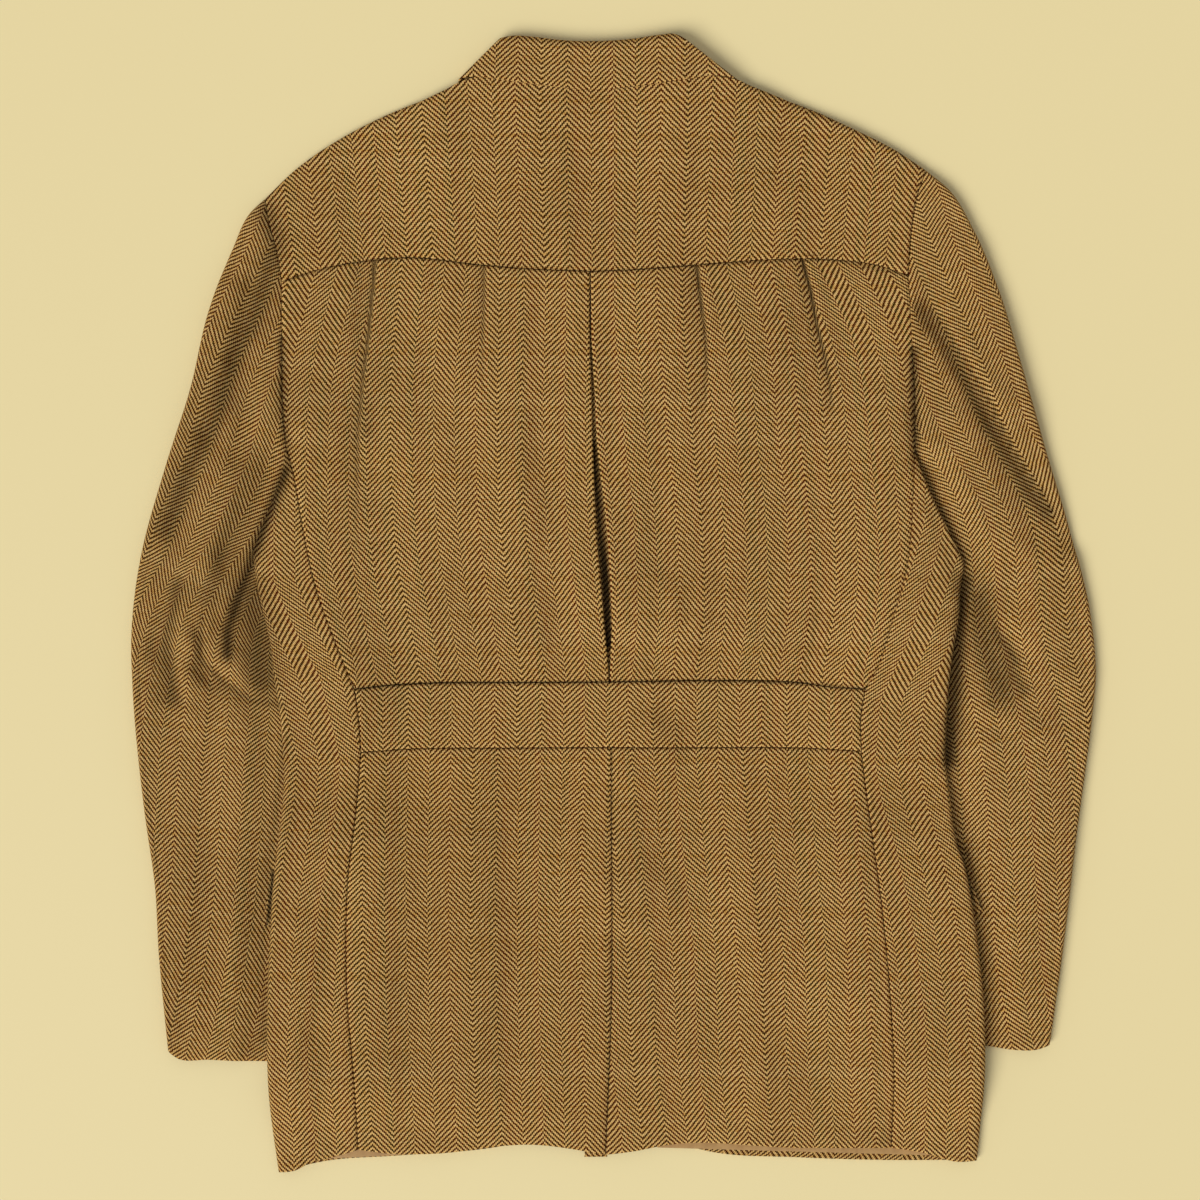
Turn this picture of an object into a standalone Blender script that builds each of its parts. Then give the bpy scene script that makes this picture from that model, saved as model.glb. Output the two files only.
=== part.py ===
"""Belted-back herringbone sport coat, laid flat on its front.

Metres, +Z up, +Y toward the collar, the wearer's left at -X. The floor is z = 0. Each cut piece
is a cloth wall on the two faces of one flattened coat: front_face is the lower face of the
fronts, back_face the upper face of the back. A piece is a grid of places on a face, with its
inner points moved in by the cloth's thickness.
"""

import bmesh
import bpy
import numpy as np

# Cloth thicknesses and clearances.
FRONT_WALL = 0.0024
BACK_WALL = 0.0020
PLEAT_WALL = 0.0015
SLEEVE_WALL = 0.0015
COLLAR_WALL = 0.0020
POCKET_WALL = 0.0014
LINING_WALL = 0.0008
LAPEL_WALL = 0.0019
SEAM = 0.00015
LAYER_GAP = 0.0003
LINING_GAP = 0.0012
VENT_GAP = 0.0012

# Heights of the flattened coat.
BODY_DEPTH = 0.0078
SLEEVE_DEPTH = 0.0076
TUCKED_SLEEVE_DEPTH = 0.0044
SLEEVE_LIFT = 0.0049
LAPEL_LIFT = 0.0023
POCKET_LIFT = 0.0041
BUTTON_LIFT = 0.0029
COLLAR_TOP = 0.0126
BODY_ROLL = 0.0045
SLEEVE_ROLL = 0.0032

# How far round each thing the cloth over it stays raised, and over what distance it then comes down.
SLEEVE_MARGIN, SLEEVE_FALL = 0.022, 0.055
SIDE_MARGIN, SIDE_FALL = 0.022, 0.035
POCKET_MARGIN, POCKET_FALL, FLAP_FALL = 0.016, 0.045, 0.030
BUTTON_MARGIN, BUTTON_FALL = 0.024, 0.020
CALM_MARGIN, CALM_FALL = 0.010, 0.030
ARMHOLE_FALL = 0.050

# Angles of the rolled edges, from the edge to the flat face.
ROLL_ANGLES = np.array([6.0, 45.0, 90.0])

# Grid intervals.
SHOULDER_COLUMNS = 12
YOKE_ROWS = 4
UPPER_ARM_ROWS = 5
SIDE_ARM_COLUMNS = 3
WAIST_ROWS = 7
BELT_ROWS = 2
SKIRT_ROWS = 12
FRONT_ARM_ROWS = 5
UNDERARM_ROWS = 4
HALF_BACK_COLUMNS = 8
SIDE_COLUMNS = 3
FRONT_COLUMNS = 8
SLEEVE_ROWS = 20
COLLAR_COLUMNS = 12
COLLAR_END_COLUMNS = 4

# Centre pleat, and the vent: its top, the lap under it, the lap's run under the seam, and how far the
# right edge stands back from the left one.
PLEAT_DEPTH = 0.015
BACK_LENGTH = 0.300
BACK_TRIM = 0.0006
SKIRT_LENGTH = 0.286
VENT_TOP = -0.1561
VENT_LAP = 0.015
VENT_INSIDE = 0.0010
VENT_BACK = 0.0045
VENT_THINNING = 0.7
NECK_MARGIN = 0.004
COLLAR_END_SPAN = 0.090

# Places along each seam and fold (x, y), top to bottom or left to right.
SHOULDER = {
    "left": [(-0.2453, 0.2835), (-0.2251, 0.3031), (-0.1830, 0.3311), (-0.1354, 0.3521), (-0.1103, 0.3640)],
    "right": [(0.2188, 0.3035), (0.1984, 0.3171), (0.1711, 0.3311), (0.1221, 0.3521), (0.0872, 0.3661)],
}
NECK = [(-0.1103, 0.3640), (-0.0955, 0.3689), (-0.0662, 0.3731), (-0.0123, 0.3745), (0.0459, 0.3731),
        (0.0725, 0.3689), (0.0872, 0.3661)]
YOKE_SEAM = {
    "left": [(-0.2334, 0.2254), (-0.2082, 0.2338), (-0.1459, 0.2422), (-0.0914, 0.2366), (-0.0172, 0.2324)],
    "right": [(-0.0166, 0.2324), (0.0549, 0.2366), (0.0998, 0.2401), (0.1515, 0.2408), (0.2061, 0.2296)],
}
ARMHOLE_YOKE = {
    "left": [(-0.2453, 0.2835), (-0.2425, 0.2674), (-0.2369, 0.2471), (-0.2334, 0.2254)],
    "right": [(0.2188, 0.3035), (0.2124, 0.2856), (0.2086, 0.2640), (0.2061, 0.2296)],
}
ARMHOLE_BACK = {
    "left": [(-0.2334, 0.2254), (-0.2331, 0.1848), (-0.2327, 0.1491), (-0.2299, 0.1099)],
    "right": [(0.2061, 0.2296), (0.2087, 0.1841), (0.2107, 0.1456), (0.2107, 0.1071)],
}
ARMHOLE_SIDE = {
    "left": [(-0.2299, 0.1099), (-0.2334, 0.0903), (-0.2404, 0.0707), (-0.2537, 0.0350)],
    "right": [(0.2107, 0.1071), (0.2173, 0.0868), (0.2321, 0.0546), (0.2453, 0.0280)],
}
# The front armhole: its upper part, which front and sleeve share, and the lower part of each.
ARMHOLE_FRONT = {
    "left": [(-0.2453, 0.2835), (-0.2330, 0.2450), (-0.2210, 0.1750)],
    "right": [(0.2188, 0.3035), (0.2080, 0.2450), (0.1990, 0.1750)],
}
FRONT_UNDERARM = {
    "left": [(-0.2210, 0.1750), (-0.2250, 0.1050), (-0.2537, 0.0350)],
    "right": [(0.1990, 0.1750), (0.2060, 0.1050), (0.2453, 0.0280)],
}
SLEEVE_UNDERARM = {
    "left": [(-0.2210, 0.1750), (-0.2230, 0.0800), (-0.2150, 0.0300)],
    "right": [(0.1990, 0.1750), (0.2040, 0.0800), (0.1970, 0.0280)],
}
# The sleeve goes on under the coat's side from the foot of the back armhole.
SLEEVE_SIDE = {
    "left": [(-0.2299, 0.1099), (-0.2225, 0.0680), (-0.2150, 0.0300)],
    "right": [(0.2107, 0.1071), (0.2055, 0.0680), (0.1970, 0.0280)],
}
WAIST_SEAM = {
    "left": [(-0.2299, 0.1099), (-0.2251, 0.0924), (-0.2173, 0.0490), (-0.2082, 0.0084), (-0.1984, -0.0189),
             (-0.1908, -0.0385), (-0.1817, -0.0603)],
    "right": [(0.2107, 0.1071), (0.2097, 0.0886), (0.2087, 0.0672), (0.2054, 0.0280), (0.1962, -0.0061),
              (0.1837, -0.0455), (0.1754, -0.0601)],
}
BELT_SEAM = {
    "left": [(-0.1817, -0.0603), (-0.1782, -0.0861), (-0.1774, -0.1045)],
    "right": [(0.1754, -0.0601), (0.1719, -0.0812), (0.1726, -0.1036)],
}
SKIRT_SEAM = {
    "left": [(-0.1774, -0.1045), (-0.1817, -0.1561), (-0.1861, -0.1918), (-0.1875, -0.2240), (-0.1870, -0.2667),
             (-0.1817, -0.3381), (-0.1798, -0.3836)],
    "right": [(0.1726, -0.1036), (0.1784, -0.1505), (0.1864, -0.2093), (0.1926, -0.2757), (0.1953, -0.3472),
              (0.1943, -0.3822)],
}
SIDE_FOLD = {
    "left": [(-0.2537, 0.0350), (-0.2495, 0.0063), (-0.2404, -0.0329), (-0.2351, -0.0721), (-0.2316, -0.1222),
             (-0.2351, -0.1650), (-0.2402, -0.2239), (-0.2425, -0.3290), (-0.2404, -0.3647), (-0.2357, -0.3997)],
    "right": [(0.2453, 0.0280), (0.2417, -0.0112), (0.2356, -0.0469), (0.2319, -0.1078), (0.2390, -0.1666),
              (0.2488, -0.2043), (0.2578, -0.2757), (0.2589, -0.3300), (0.2569, -0.3647), (0.2545, -0.3913)],
}
BELT_TOP = {
    "left": [(-0.1817, -0.0603), (-0.1637, -0.0581), (-0.1280, -0.0560), (-0.0608, -0.0556), (-0.0041, -0.0553)],
    "right": [(-0.0034, -0.0553), (0.0640, -0.0543), (0.1298, -0.0558), (0.1515, -0.0588), (0.1754, -0.0601)],
}
BELT_BOTTOM = {
    "left": [(-0.1774, -0.1045), (-0.1502, -0.1026), (-0.0700, -0.1016), (-0.0024, -0.1011)],
    "right": [(-0.0024, -0.1011), (0.0640, -0.1013), (0.1298, -0.1015), (0.1726, -0.1036)],
}
CENTRE_SEAM = [(-0.0024, -0.1011), (-0.0024, -0.1239), (-0.0018, -0.1939), (-0.0021, -0.2779),
               (-0.0039, -0.3339), (-0.0063, -0.3871)]
HEM_BACK = {
    "left": [(-0.1798, -0.3836), (-0.1530, -0.3867), (-0.1280, -0.3864), (-0.0537, -0.3801), (-0.0063, -0.3871)],
    "right": [(-0.0063, -0.3893), (0.0106, -0.3871), (0.0374, -0.3819), (0.1298, -0.3829), (0.1943, -0.3822)],
}
HEM_SIDE = {
    "left": [(-0.1798, -0.3836), (-0.2018, -0.3899), (-0.2117, -0.3920), (-0.2244, -0.3983), (-0.2357, -0.3997)],
    "right": [(0.1943, -0.3822), (0.2048, -0.3836), (0.2161, -0.3857), (0.2412, -0.3920), (0.2545, -0.3913)],
}
HEM_FRONT = {
    "left": [(-0.2357, -0.3997), (-0.2018, -0.3920), (-0.1530, -0.3885), (-0.0800, -0.3820), (-0.0026, -0.3600)],
    "right": [(0.2545, -0.3913), (0.1900, -0.3915), (0.1298, -0.3897), (0.0640, -0.3850), (0.0006, -0.3600)],
}
# Front edge, roll line and front neck seam, top to bottom.
FRONT_EDGE = {
    "left": [(-0.1040, 0.3610), (-0.0880, 0.3350), (-0.0560, 0.3000), (-0.0300, 0.1500), (-0.0045, 0.0100),
             (-0.0025, -0.1000), (-0.0025, -0.2500), (-0.0026, -0.3600)],
    "right": [(0.0810, 0.3610), (0.0700, 0.3350), (0.0500, 0.3000), (0.0260, 0.1500), (0.0020, 0.0100),
              (0.0005, -0.1000), (0.0005, -0.2500), (0.0006, -0.3600)],
}
PLEAT_EDGE = {
    "left": [(-0.0172, 0.2324), (-0.0186, 0.1757), (-0.0171, 0.1281), (-0.0118, 0.0350), (-0.0041, -0.0553)],
    "right": [(-0.0166, 0.2324), (-0.0164, 0.1757), (-0.0138, 0.1281), (-0.0058, 0.0350), (-0.0034, -0.0553)],
}
SLEEVE_OUTER = {
    "left": [(-0.2453, 0.2835), (-0.2555, 0.2740), (-0.2685, 0.2471), (-0.2845, 0.2051), (-0.2979, 0.1491),
             (-0.3160, 0.0931), (-0.3315, 0.0371), (-0.3363, 0.0091), (-0.3392, -0.0259), (-0.3384, -0.0539),
             (-0.3301, -0.1449), (-0.3223, -0.2009), (-0.3200, -0.2429), (-0.3132, -0.3143)],
    "right": [(0.2188, 0.3035), (0.2356, 0.2891), (0.2524, 0.2611), (0.2698, 0.2191), (0.2867, 0.1631),
              (0.3028, 0.1071), (0.3196, 0.0511), (0.3336, -0.0049), (0.3377, -0.0539), (0.3357, -0.0749),
              (0.3231, -0.1729), (0.3167, -0.2289), (0.3055, -0.3101)],
}
SLEEVE_INNER = {
    "left": [(-0.2150, 0.0300), (-0.2090, -0.0200), (-0.1970, -0.0959), (-0.1886, -0.1729), (-0.1900, -0.2429),
             (-0.1935, -0.3213)],
    "right": [(0.1970, 0.0280), (0.1950, -0.0200), (0.1890, -0.0959), (0.1830, -0.1729), (0.1817, -0.2429),
              (0.1858, -0.3101)],
}
CUFF = {
    "left": [(-0.3132, -0.3143), (-0.3070, -0.3190), (-0.2832, -0.3203), (-0.2425, -0.3220), (-0.1935, -0.3213)],
    "right": [(0.3055, -0.3101), (0.2979, -0.3129), (0.2803, -0.3136), (0.2594, -0.3110), (0.1858, -0.3101)],
}
COLLAR_FOLD = [(-0.0801, 0.3962), (-0.0731, 0.3976), (-0.0556, 0.3969), (-0.0123, 0.3940), (0.0318, 0.3983),
               (0.0416, 0.3990), (0.0473, 0.3969)]
COLLAR_EDGE = [(-0.1095, 0.3668), (-0.0794, 0.3661), (-0.0469, 0.3619), (-0.0158, 0.3591), (0.0192, 0.3619),
               (0.0522, 0.3668), (0.0864, 0.3668)]
# The collar's two ends, on the lower face: outer edge, roll edge and neck seam from side to end.
COLLAR_END = {
    "left": {"edge": [(-0.1095, 0.3668), (-0.1160, 0.3420), (-0.1120, 0.3180), (-0.1040, 0.2960)],
             "fold": [(-0.0801, 0.3962), (-0.0700, 0.3680), (-0.0600, 0.3350), (-0.0530, 0.3060)]},
    "right": {"edge": [(0.0864, 0.3668), (0.0960, 0.3420), (0.0980, 0.3180), (0.0930, 0.2960)],
              "fold": [(0.0473, 0.3969), (0.0480, 0.3680), (0.0480, 0.3350), (0.0470, 0.3060)]},
}
LAPEL = {
    "left": {"gorge": [(-0.1180, 0.2740), (-0.0555, 0.2990)], "tip": [(-0.0085, 0.0120), (-0.0050, 0.0120)],
             "edge": [(-0.1180, 0.2740), (-0.1130, 0.2050), (-0.0620, 0.0900), (-0.0085, 0.0120)],
             "roll": [(-0.0555, 0.2990), (-0.0300, 0.1500), (-0.0050, 0.0120)]},
    "right": {"gorge": [(0.1090, 0.2740), (0.0495, 0.2990)], "tip": [(0.0062, 0.0120), (0.0027, 0.0120)],
              "edge": [(0.1090, 0.2740), (0.1050, 0.2050), (0.0580, 0.0900), (0.0062, 0.0120)],
              "roll": [(0.0495, 0.2990), (0.0262, 0.1500), (0.0027, 0.0120)]},
}
# Patch pockets and flaps: corners run outer top, inner top, inner bottom, outer bottom.
POCKET = {
    "left": [(-0.2400, -0.1800), (-0.1100, -0.1820), (-0.1100, -0.3300), (-0.2435, -0.3270)],
    "right": [(0.2440, -0.1780), (0.1120, -0.1820), (0.1120, -0.3300), (0.2600, -0.3270)],
}
POCKET_FLAP = {
    "left": [(-0.2368, -0.1735), (-0.1070, -0.1780), (-0.1060, -0.2300), (-0.2474, -0.2260)],
    "right": [(0.2395, -0.1690), (0.1090, -0.1780), (0.1080, -0.2300), (0.2590, -0.2170)],
}
LINING = {
    "left": [(-0.2060, -0.3560), (-0.1480, -0.3560), (-0.1480, -0.3875), (-0.2060, -0.3905)],
    "right": [(0.0300, -0.3500), (0.2260, -0.3560), (0.2260, -0.3880), (0.0300, -0.3825)],
}
BUTTONS = [(0.0200, 0.0000), (0.0200, -0.1050), (0.0200, -0.2100)]
BUTTON_RADIUS = 0.0115
BUTTON_THICKNESS = 0.0026

# Main creases of the upper faces: from (x0, y0) to (x1, y1), half width and height.
CREASES = [
    (-0.1670, 0.2350, -0.1760, 0.1550, 0.010, -0.0006),
    (-0.0920, 0.2350, -0.0920, 0.1700, 0.010, -0.0005),
    (0.0580, 0.2360, 0.0620, 0.1500, 0.011, -0.0006),
    (0.1320, 0.2380, 0.1510, 0.1500, 0.012, -0.0008),
    (-0.0100, 0.2400, -0.0040, -0.1000, 0.040, 0.0010),
    (-0.2530, 0.2200, -0.3050, 0.0600, 0.014, -0.0018),
    (-0.2700, 0.2200, -0.3200, 0.0500, 0.018, 0.0014),
    (0.2250, 0.2050, 0.2950, 0.0700, 0.015, -0.0018),
    (0.2450, 0.2250, 0.3100, 0.0900, 0.018, 0.0014),
    (-0.3150, 0.0100, -0.3130, -0.0600, 0.014, -0.0014),
    (0.2820, -0.0250, 0.3100, -0.0600, 0.014, -0.0014),
]


def along(points, fractions):
    """A smooth curve through the points, read at fractions of its chord length."""
    points = np.asarray(points, float)
    fractions = np.atleast_1d(np.asarray(fractions, float))
    steps = np.linalg.norm(np.diff(points, axis=0), axis=1)
    reach = np.concatenate([[0], np.cumsum(steps)])
    slope = np.gradient(points, reach, axis=0) if len(points) > 2 else np.repeat(
        (points[1:] - points[:1]) / steps[0], 2, axis=0)
    want = fractions * reach[-1]
    k = np.clip(np.searchsorted(reach, want, side="right") - 1, 0, len(points) - 2)
    h = steps[k][:, None]
    t = ((want - reach[k]) / steps[k])[:, None]
    return (points[k] * (1 + 2 * t) * (1 - t) ** 2 + slope[k] * h * t * (1 - t) ** 2
            + points[k + 1] * t * t * (3 - 2 * t) + slope[k + 1] * h * t * t * (t - 1))


def stations(points, count):
    """count + 1 places along the curve, equally spaced."""
    return along(points, np.linspace(0, 1, count + 1))


def joined(*lists):
    """One list from several whose ends meet."""
    return np.concatenate([np.asarray(lists[0])] + [np.asarray(part)[1:] for part in lists[1:]])


def edge_place(points, fraction):
    """Place on a list of points, with the points equally spaced in the parameter."""
    points = np.asarray(points)
    index = np.clip(fraction, 0, 1) * (len(points) - 1)
    base = np.arange(len(points))
    return np.interp(index, base, points[:, 0]), np.interp(index, base, points[:, 1])


def patch(top, bottom, left, right):
    """Place function of (u, v): the four edges blended, u from left to right, v from top to bottom."""
    corners = [np.asarray(c) for c in (top[0], top[-1], bottom[0], bottom[-1])]

    def place(u, v):
        out = []
        for axis in (0, 1):
            t, b = edge_place(top, u)[axis], edge_place(bottom, u)[axis]
            left_, right_ = edge_place(left, v)[axis], edge_place(right, v)[axis]
            c = [corner[axis] for corner in corners]
            bilinear = (1 - v) * ((1 - u) * c[0] + u * c[1]) + v * ((1 - u) * c[2] + u * c[3])
            out.append((1 - v) * t + v * b + (1 - u) * left_ + u * right_ - bilinear)
        return out[0], out[1]

    return place


def outline_distance(x, y, outline):
    """Distance to a closed outline, negative inside."""
    outline = np.asarray(outline, float)
    best = np.full(np.shape(x), 1e9)
    inside = np.zeros(np.shape(x), bool)
    for a, b in zip(outline, np.roll(outline, -1, axis=0)):
        d = b - a
        t = np.clip(((x - a[0]) * d[0] + (y - a[1]) * d[1]) / (d @ d), 0, 1)
        best = np.minimum(best, np.hypot(x - a[0] - t * d[0], y - a[1] - t * d[1]))
        crosses = (a[1] > y) != (b[1] > y)
        rise = d[1] if d[1] else 1e-12
        inside ^= crosses & (x < a[0] + (y - a[1]) / rise * d[0])
    return np.where(inside, -best, best)


def cover(x, y, outline, margin, fall):
    """One over the outline and its margin, falling smoothly to zero."""
    t = np.clip((outline_distance(x, y, outline) - margin) / fall, 0, 1)
    return 1 - t * t * (3 - 2 * t)


def crease_height(x, y):
    """Sum of the creases' soft ridges and troughs."""
    height = np.zeros(np.shape(x))
    for x0, y0, x1, y1, width, size in CREASES:
        dx, dy = x1 - x0, y1 - y0
        t = np.clip(((x - x0) * dx + (y - y0) * dy) / (dx * dx + dy * dy), 0, 1)
        far = np.hypot(x - x0 - t * dx, y - y0 - t * dy)
        height = height + size * np.exp(-(far / width) ** 2)
    return height


def tucked_region(side):
    """Where the sleeve lies under the coat's side."""
    inner = SLEEVE_UNDERARM[side][1:] + SLEEVE_INNER[side][1:]
    far, top = SIDE_FOLD[side][0][0] * 1.12, inner[0][1] + 0.030
    return inner + [(far, inner[-1][1]), (far, top), (inner[0][0], top)]


def body_region(side):
    """The coat's side below the underarm, over the sleeve."""
    fold = ARMHOLE_SIDE[side] + SIDE_FOLD[side][1:]
    return fold + [(0.0, fold[-1][1]), (0.0, fold[0][1] - 0.20), (fold[0][0] * 0.90, fold[0][1])]


def turned_region(side):
    """Where the lapel and the collar's end lie under the front."""
    lapel, end = LAPEL[side], COLLAR_END[side]
    return lapel["edge"] + lapel["roll"][::-1][:-1] + end["fold"][::-1] + end["edge"]


def sleeve_lift(x, y):
    return SLEEVE_LIFT * np.maximum(*[cover(x, y, tucked_region(s), SLEEVE_MARGIN, SLEEVE_FALL)
                                     for s in ("left", "right")])


def pocket_lift(x, y):
    return POCKET_LIFT * np.maximum(*[cover(x, y, POCKET_FLAP[s][:2] + POCKET[s][2:], POCKET_MARGIN, POCKET_FALL)
                                      for s in ("left", "right")])


def flap_lift(x, y):
    return (POCKET_WALL + LAYER_GAP) * np.maximum(*[cover(x, y, POCKET_FLAP[s], POCKET_MARGIN, FLAP_FALL)
                                                    for s in ("left", "right")])


def front_face(x, y):
    """Lower face of the fronts: lifted by the sleeves, pockets, lapels, collar ends and buttons."""
    turned = np.maximum(*[cover(x, y, turned_region(s), POCKET_MARGIN, POCKET_FALL) for s in ("left", "right")])
    neck = cover(x, y, COLLAR_EDGE + COLLAR_FOLD[::-1], POCKET_MARGIN, POCKET_FALL)
    lift = LAPEL_LIFT * np.maximum(turned, neck)
    for bx, by in BUTTONS:
        t = np.clip((np.hypot(x - bx, y - by) - BUTTON_RADIUS - BUTTON_MARGIN) / BUTTON_FALL, 0, 1)
        lift = np.maximum(lift, BUTTON_LIFT * (1 - t * t * (3 - 2 * t)))
    return sleeve_lift(x, y) + pocket_lift(x, y) + lift


def back_face(x, y):
    """Upper face of the back."""
    calm = 1 - cover(x, y, COLLAR_EDGE + COLLAR_FOLD[::-1], CALM_MARGIN, CALM_FALL)
    return front_face(x, y) + BODY_DEPTH + crease_height(x, y) * calm


def sleeve_face(x, y):
    """Upper face of the sleeves: level with the coat at the armhole, thin where the coat lies on it."""
    under = np.maximum(*[cover(x, y, body_region(s), SIDE_MARGIN, SIDE_FALL) for s in ("left", "right")])
    near = np.full(np.shape(x), 1e9)
    for s in ("left", "right"):
        seam = joined(ARMHOLE_YOKE[s], ARMHOLE_BACK[s])
        for a, b in zip(seam[:-1], seam[1:]):
            d = b - a
            t = np.clip(((x - a[0]) * d[0] + (y - a[1]) * d[1]) / (d @ d), 0, 1)
            near = np.minimum(near, np.hypot(x - a[0] - t * d[0], y - a[1] - t * d[1]))
    t = np.clip(near / ARMHOLE_FALL, 0, 1)
    meet = 1 - t * t * (3 - 2 * t)
    free = SLEEVE_DEPTH + crease_height(x, y)
    free = free + (back_face(x, y) - free) * meet
    return free + (TUCKED_SLEEVE_DEPTH - free) * under


def floor_face(x, y):
    return np.zeros(np.shape(x))


def on_face(place, u, v, weight, side, inset, upper, lower):
    """Points on the upper (side 1) or lower (side -1) face, moved in by inset; weight rounds the edge."""
    x, y = place(u, v)
    middle = (upper(x, y) + lower(x, y)) / 2
    half = (upper(x, y) - lower(x, y)) / 2 - inset
    return np.stack([x, y, middle + side * half * weight], axis=-1)


def roll_in(angle, radius, inset):
    """Distance from the edge at an angle of its roll."""
    return inset + (radius - inset) * (1 - np.cos(np.radians(angle)))


def pull(grid, amount=SEAM, sides="tblr"):
    """Moves the border rows and columns inward, to leave the seam's gap."""
    grid = grid.copy()
    moves = {"t": (np.s_[0], np.s_[1]), "b": (np.s_[-1], np.s_[-2]),
             "l": (np.s_[:, 0], np.s_[:, 1]), "r": (np.s_[:, -1], np.s_[:, -2])}
    for name in sides:
        at, toward = moves[name]
        step = grid[toward] - grid[at]
        step[..., 2] = 0
        length = np.maximum(np.linalg.norm(step, axis=-1, keepdims=True), 1e-9)
        grid[at] += step / length * amount
    return grid


def cloth_material(name, color, roughness=0.9):
    material = bpy.data.materials.get(name) or bpy.data.materials.new(name)
    material.use_nodes = True
    shader = material.node_tree.nodes["Principled BSDF"]
    shader.inputs["Base Color"].default_value = (*color, 1)
    shader.inputs["Roughness"].default_value = roughness
    return material


TWEED = (0.30, 0.17, 0.05)
LINING_COLOR = (0.35, 0.21, 0.06)
BUTTON_COLOR = (0.10, 0.05, 0.02)


def wall(name, outer, inner, cells=None, color=TWEED):
    """A closed wall between two point grids; cells says which grid squares are cloth."""
    rows, columns = outer.shape[:2]
    if cells is None:
        cells = np.ones((rows - 1, columns - 1), bool)
    number = np.arange(rows * columns).reshape(rows, columns)
    shift = rows * columns
    faces = []
    for i, j in np.argwhere(cells):
        a, b, c, d = number[i, j], number[i, j + 1], number[i + 1, j + 1], number[i + 1, j]
        faces.append((a, b, c, d))
        faces.append((d + shift, c + shift, b + shift, a + shift))
        borders = [(i - 1, j, a, b), (i, j + 1, b, c), (i + 1, j, c, d), (i, j - 1, d, a)]
        for r, s, p, q in borders:
            if not (0 <= r < rows - 1 and 0 <= s < columns - 1 and cells[r, s]):
                faces.append((q, p, p + shift, q + shift))
    points = np.concatenate([outer.reshape(-1, 3), inner.reshape(-1, 3)])
    used, flat = np.unique(np.array(faces), return_inverse=True)
    mesh = bpy.data.meshes.new(name)
    mesh.from_pydata(points[used].tolist(), [], flat.reshape(-1, 4).tolist())
    bm = bmesh.new()
    bm.from_mesh(mesh)
    bmesh.ops.triangulate(bm, faces=bm.faces[:])
    bmesh.ops.recalc_face_normals(bm, faces=bm.faces[:])
    bm.to_mesh(mesh)
    bm.free()
    mesh.materials.append(cloth_material(name, color))
    piece = bpy.data.objects.new(name, mesh)
    bpy.context.collection.objects.link(piece)
    return piece


def panel(name, place, u, v, side, thick, upper, lower, sides="tblr", color=TWEED):
    """A plain panel on one face."""
    u, v = np.meshgrid(u, v)
    one = np.ones(u.shape)
    outer = on_face(place, u, v, one, side, 0.0, upper, lower)
    inner = on_face(place, u, v, one, side, thick, upper, lower)
    return wall(name, pull(outer, sides=sides), pull(inner, sides=sides), color=color)


def shared_seams(side):
    """The stations that neighbouring pieces share."""
    return {
        "arm_yoke": stations(ARMHOLE_YOKE[side], YOKE_ROWS),
        "arm_back": stations(ARMHOLE_BACK[side], UPPER_ARM_ROWS),
        "arm_side": stations(ARMHOLE_SIDE[side], SIDE_ARM_COLUMNS),
        "arm_front": stations(ARMHOLE_FRONT[side], FRONT_ARM_ROWS),
        "front_underarm": stations(FRONT_UNDERARM[side], UNDERARM_ROWS),
        "sleeve_underarm": stations(SLEEVE_UNDERARM[side], UNDERARM_ROWS),
        "sleeve_side": stations(SLEEVE_SIDE[side], SIDE_ARM_COLUMNS),
        "waist": stations(WAIST_SEAM[side], WAIST_ROWS),
        "belt": stations(BELT_SEAM[side], BELT_ROWS),
        "skirt": stations(SKIRT_SEAM[side], SKIRT_ROWS),
        "yoke_seam": stations(YOKE_SEAM[side], HALF_BACK_COLUMNS),
        "belt_top": stations(BELT_TOP[side], HALF_BACK_COLUMNS),
        "belt_bottom": stations(BELT_BOTTOM[side], HALF_BACK_COLUMNS),
        "hem_back": stations(HEM_BACK[side], HALF_BACK_COLUMNS),
    }


def build_yoke(seams):
    """Yoke: shoulder and neck line above, yoke seam below, rolled over at the shoulders."""
    bottom = joined(seams["left"]["yoke_seam"], seams["right"]["yoke_seam"])
    line = joined(stations(SHOULDER["left"], SHOULDER_COLUMNS), stations(NECK, SHOULDER_COLUMNS),
                  stations(SHOULDER["right"][::-1], SHOULDER_COLUMNS))
    share = (bottom[:, 0] - bottom[0, 0]) / (bottom[-1, 0] - bottom[0, 0])
    top_x = line[0, 0] + share * (line[-1, 0] - line[0, 0])
    top = np.stack([top_x, np.interp(top_x, line[:, 0], line[:, 1])], axis=-1)
    left, right = seams["left"]["arm_yoke"], seams["right"]["arm_yoke"]
    place = patch(top, bottom, left, right)
    height = left[0, 1] - left[1, 1]
    whole = np.arange(1, YOKE_ROWS + 1) / YOKE_ROWS
    u_line = np.linspace(0, 1, len(bottom))
    grids = []
    for inset in (0.0, BACK_WALL):
        near = roll_in(ROLL_ANGLES, BODY_ROLL, inset) / height / YOKE_ROWS
        u, v = np.meshgrid(u_line, np.concatenate([near, whole]))
        at_neck = (top_x > NECK[0][0] - NECK_MARGIN) & (top_x < NECK[-1][0] + NECK_MARGIN)
        drop = np.concatenate([np.sin(np.radians(ROLL_ANGLES)), np.ones(YOKE_ROWS)])
        weight = np.where(at_neck[None, :], 1.0, drop[:, None])
        grids.append(pull(on_face(place, u, v, weight, 1, inset, back_face, front_face), sides="blr"))
    wall("yoke", grids[0], grids[1])


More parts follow.
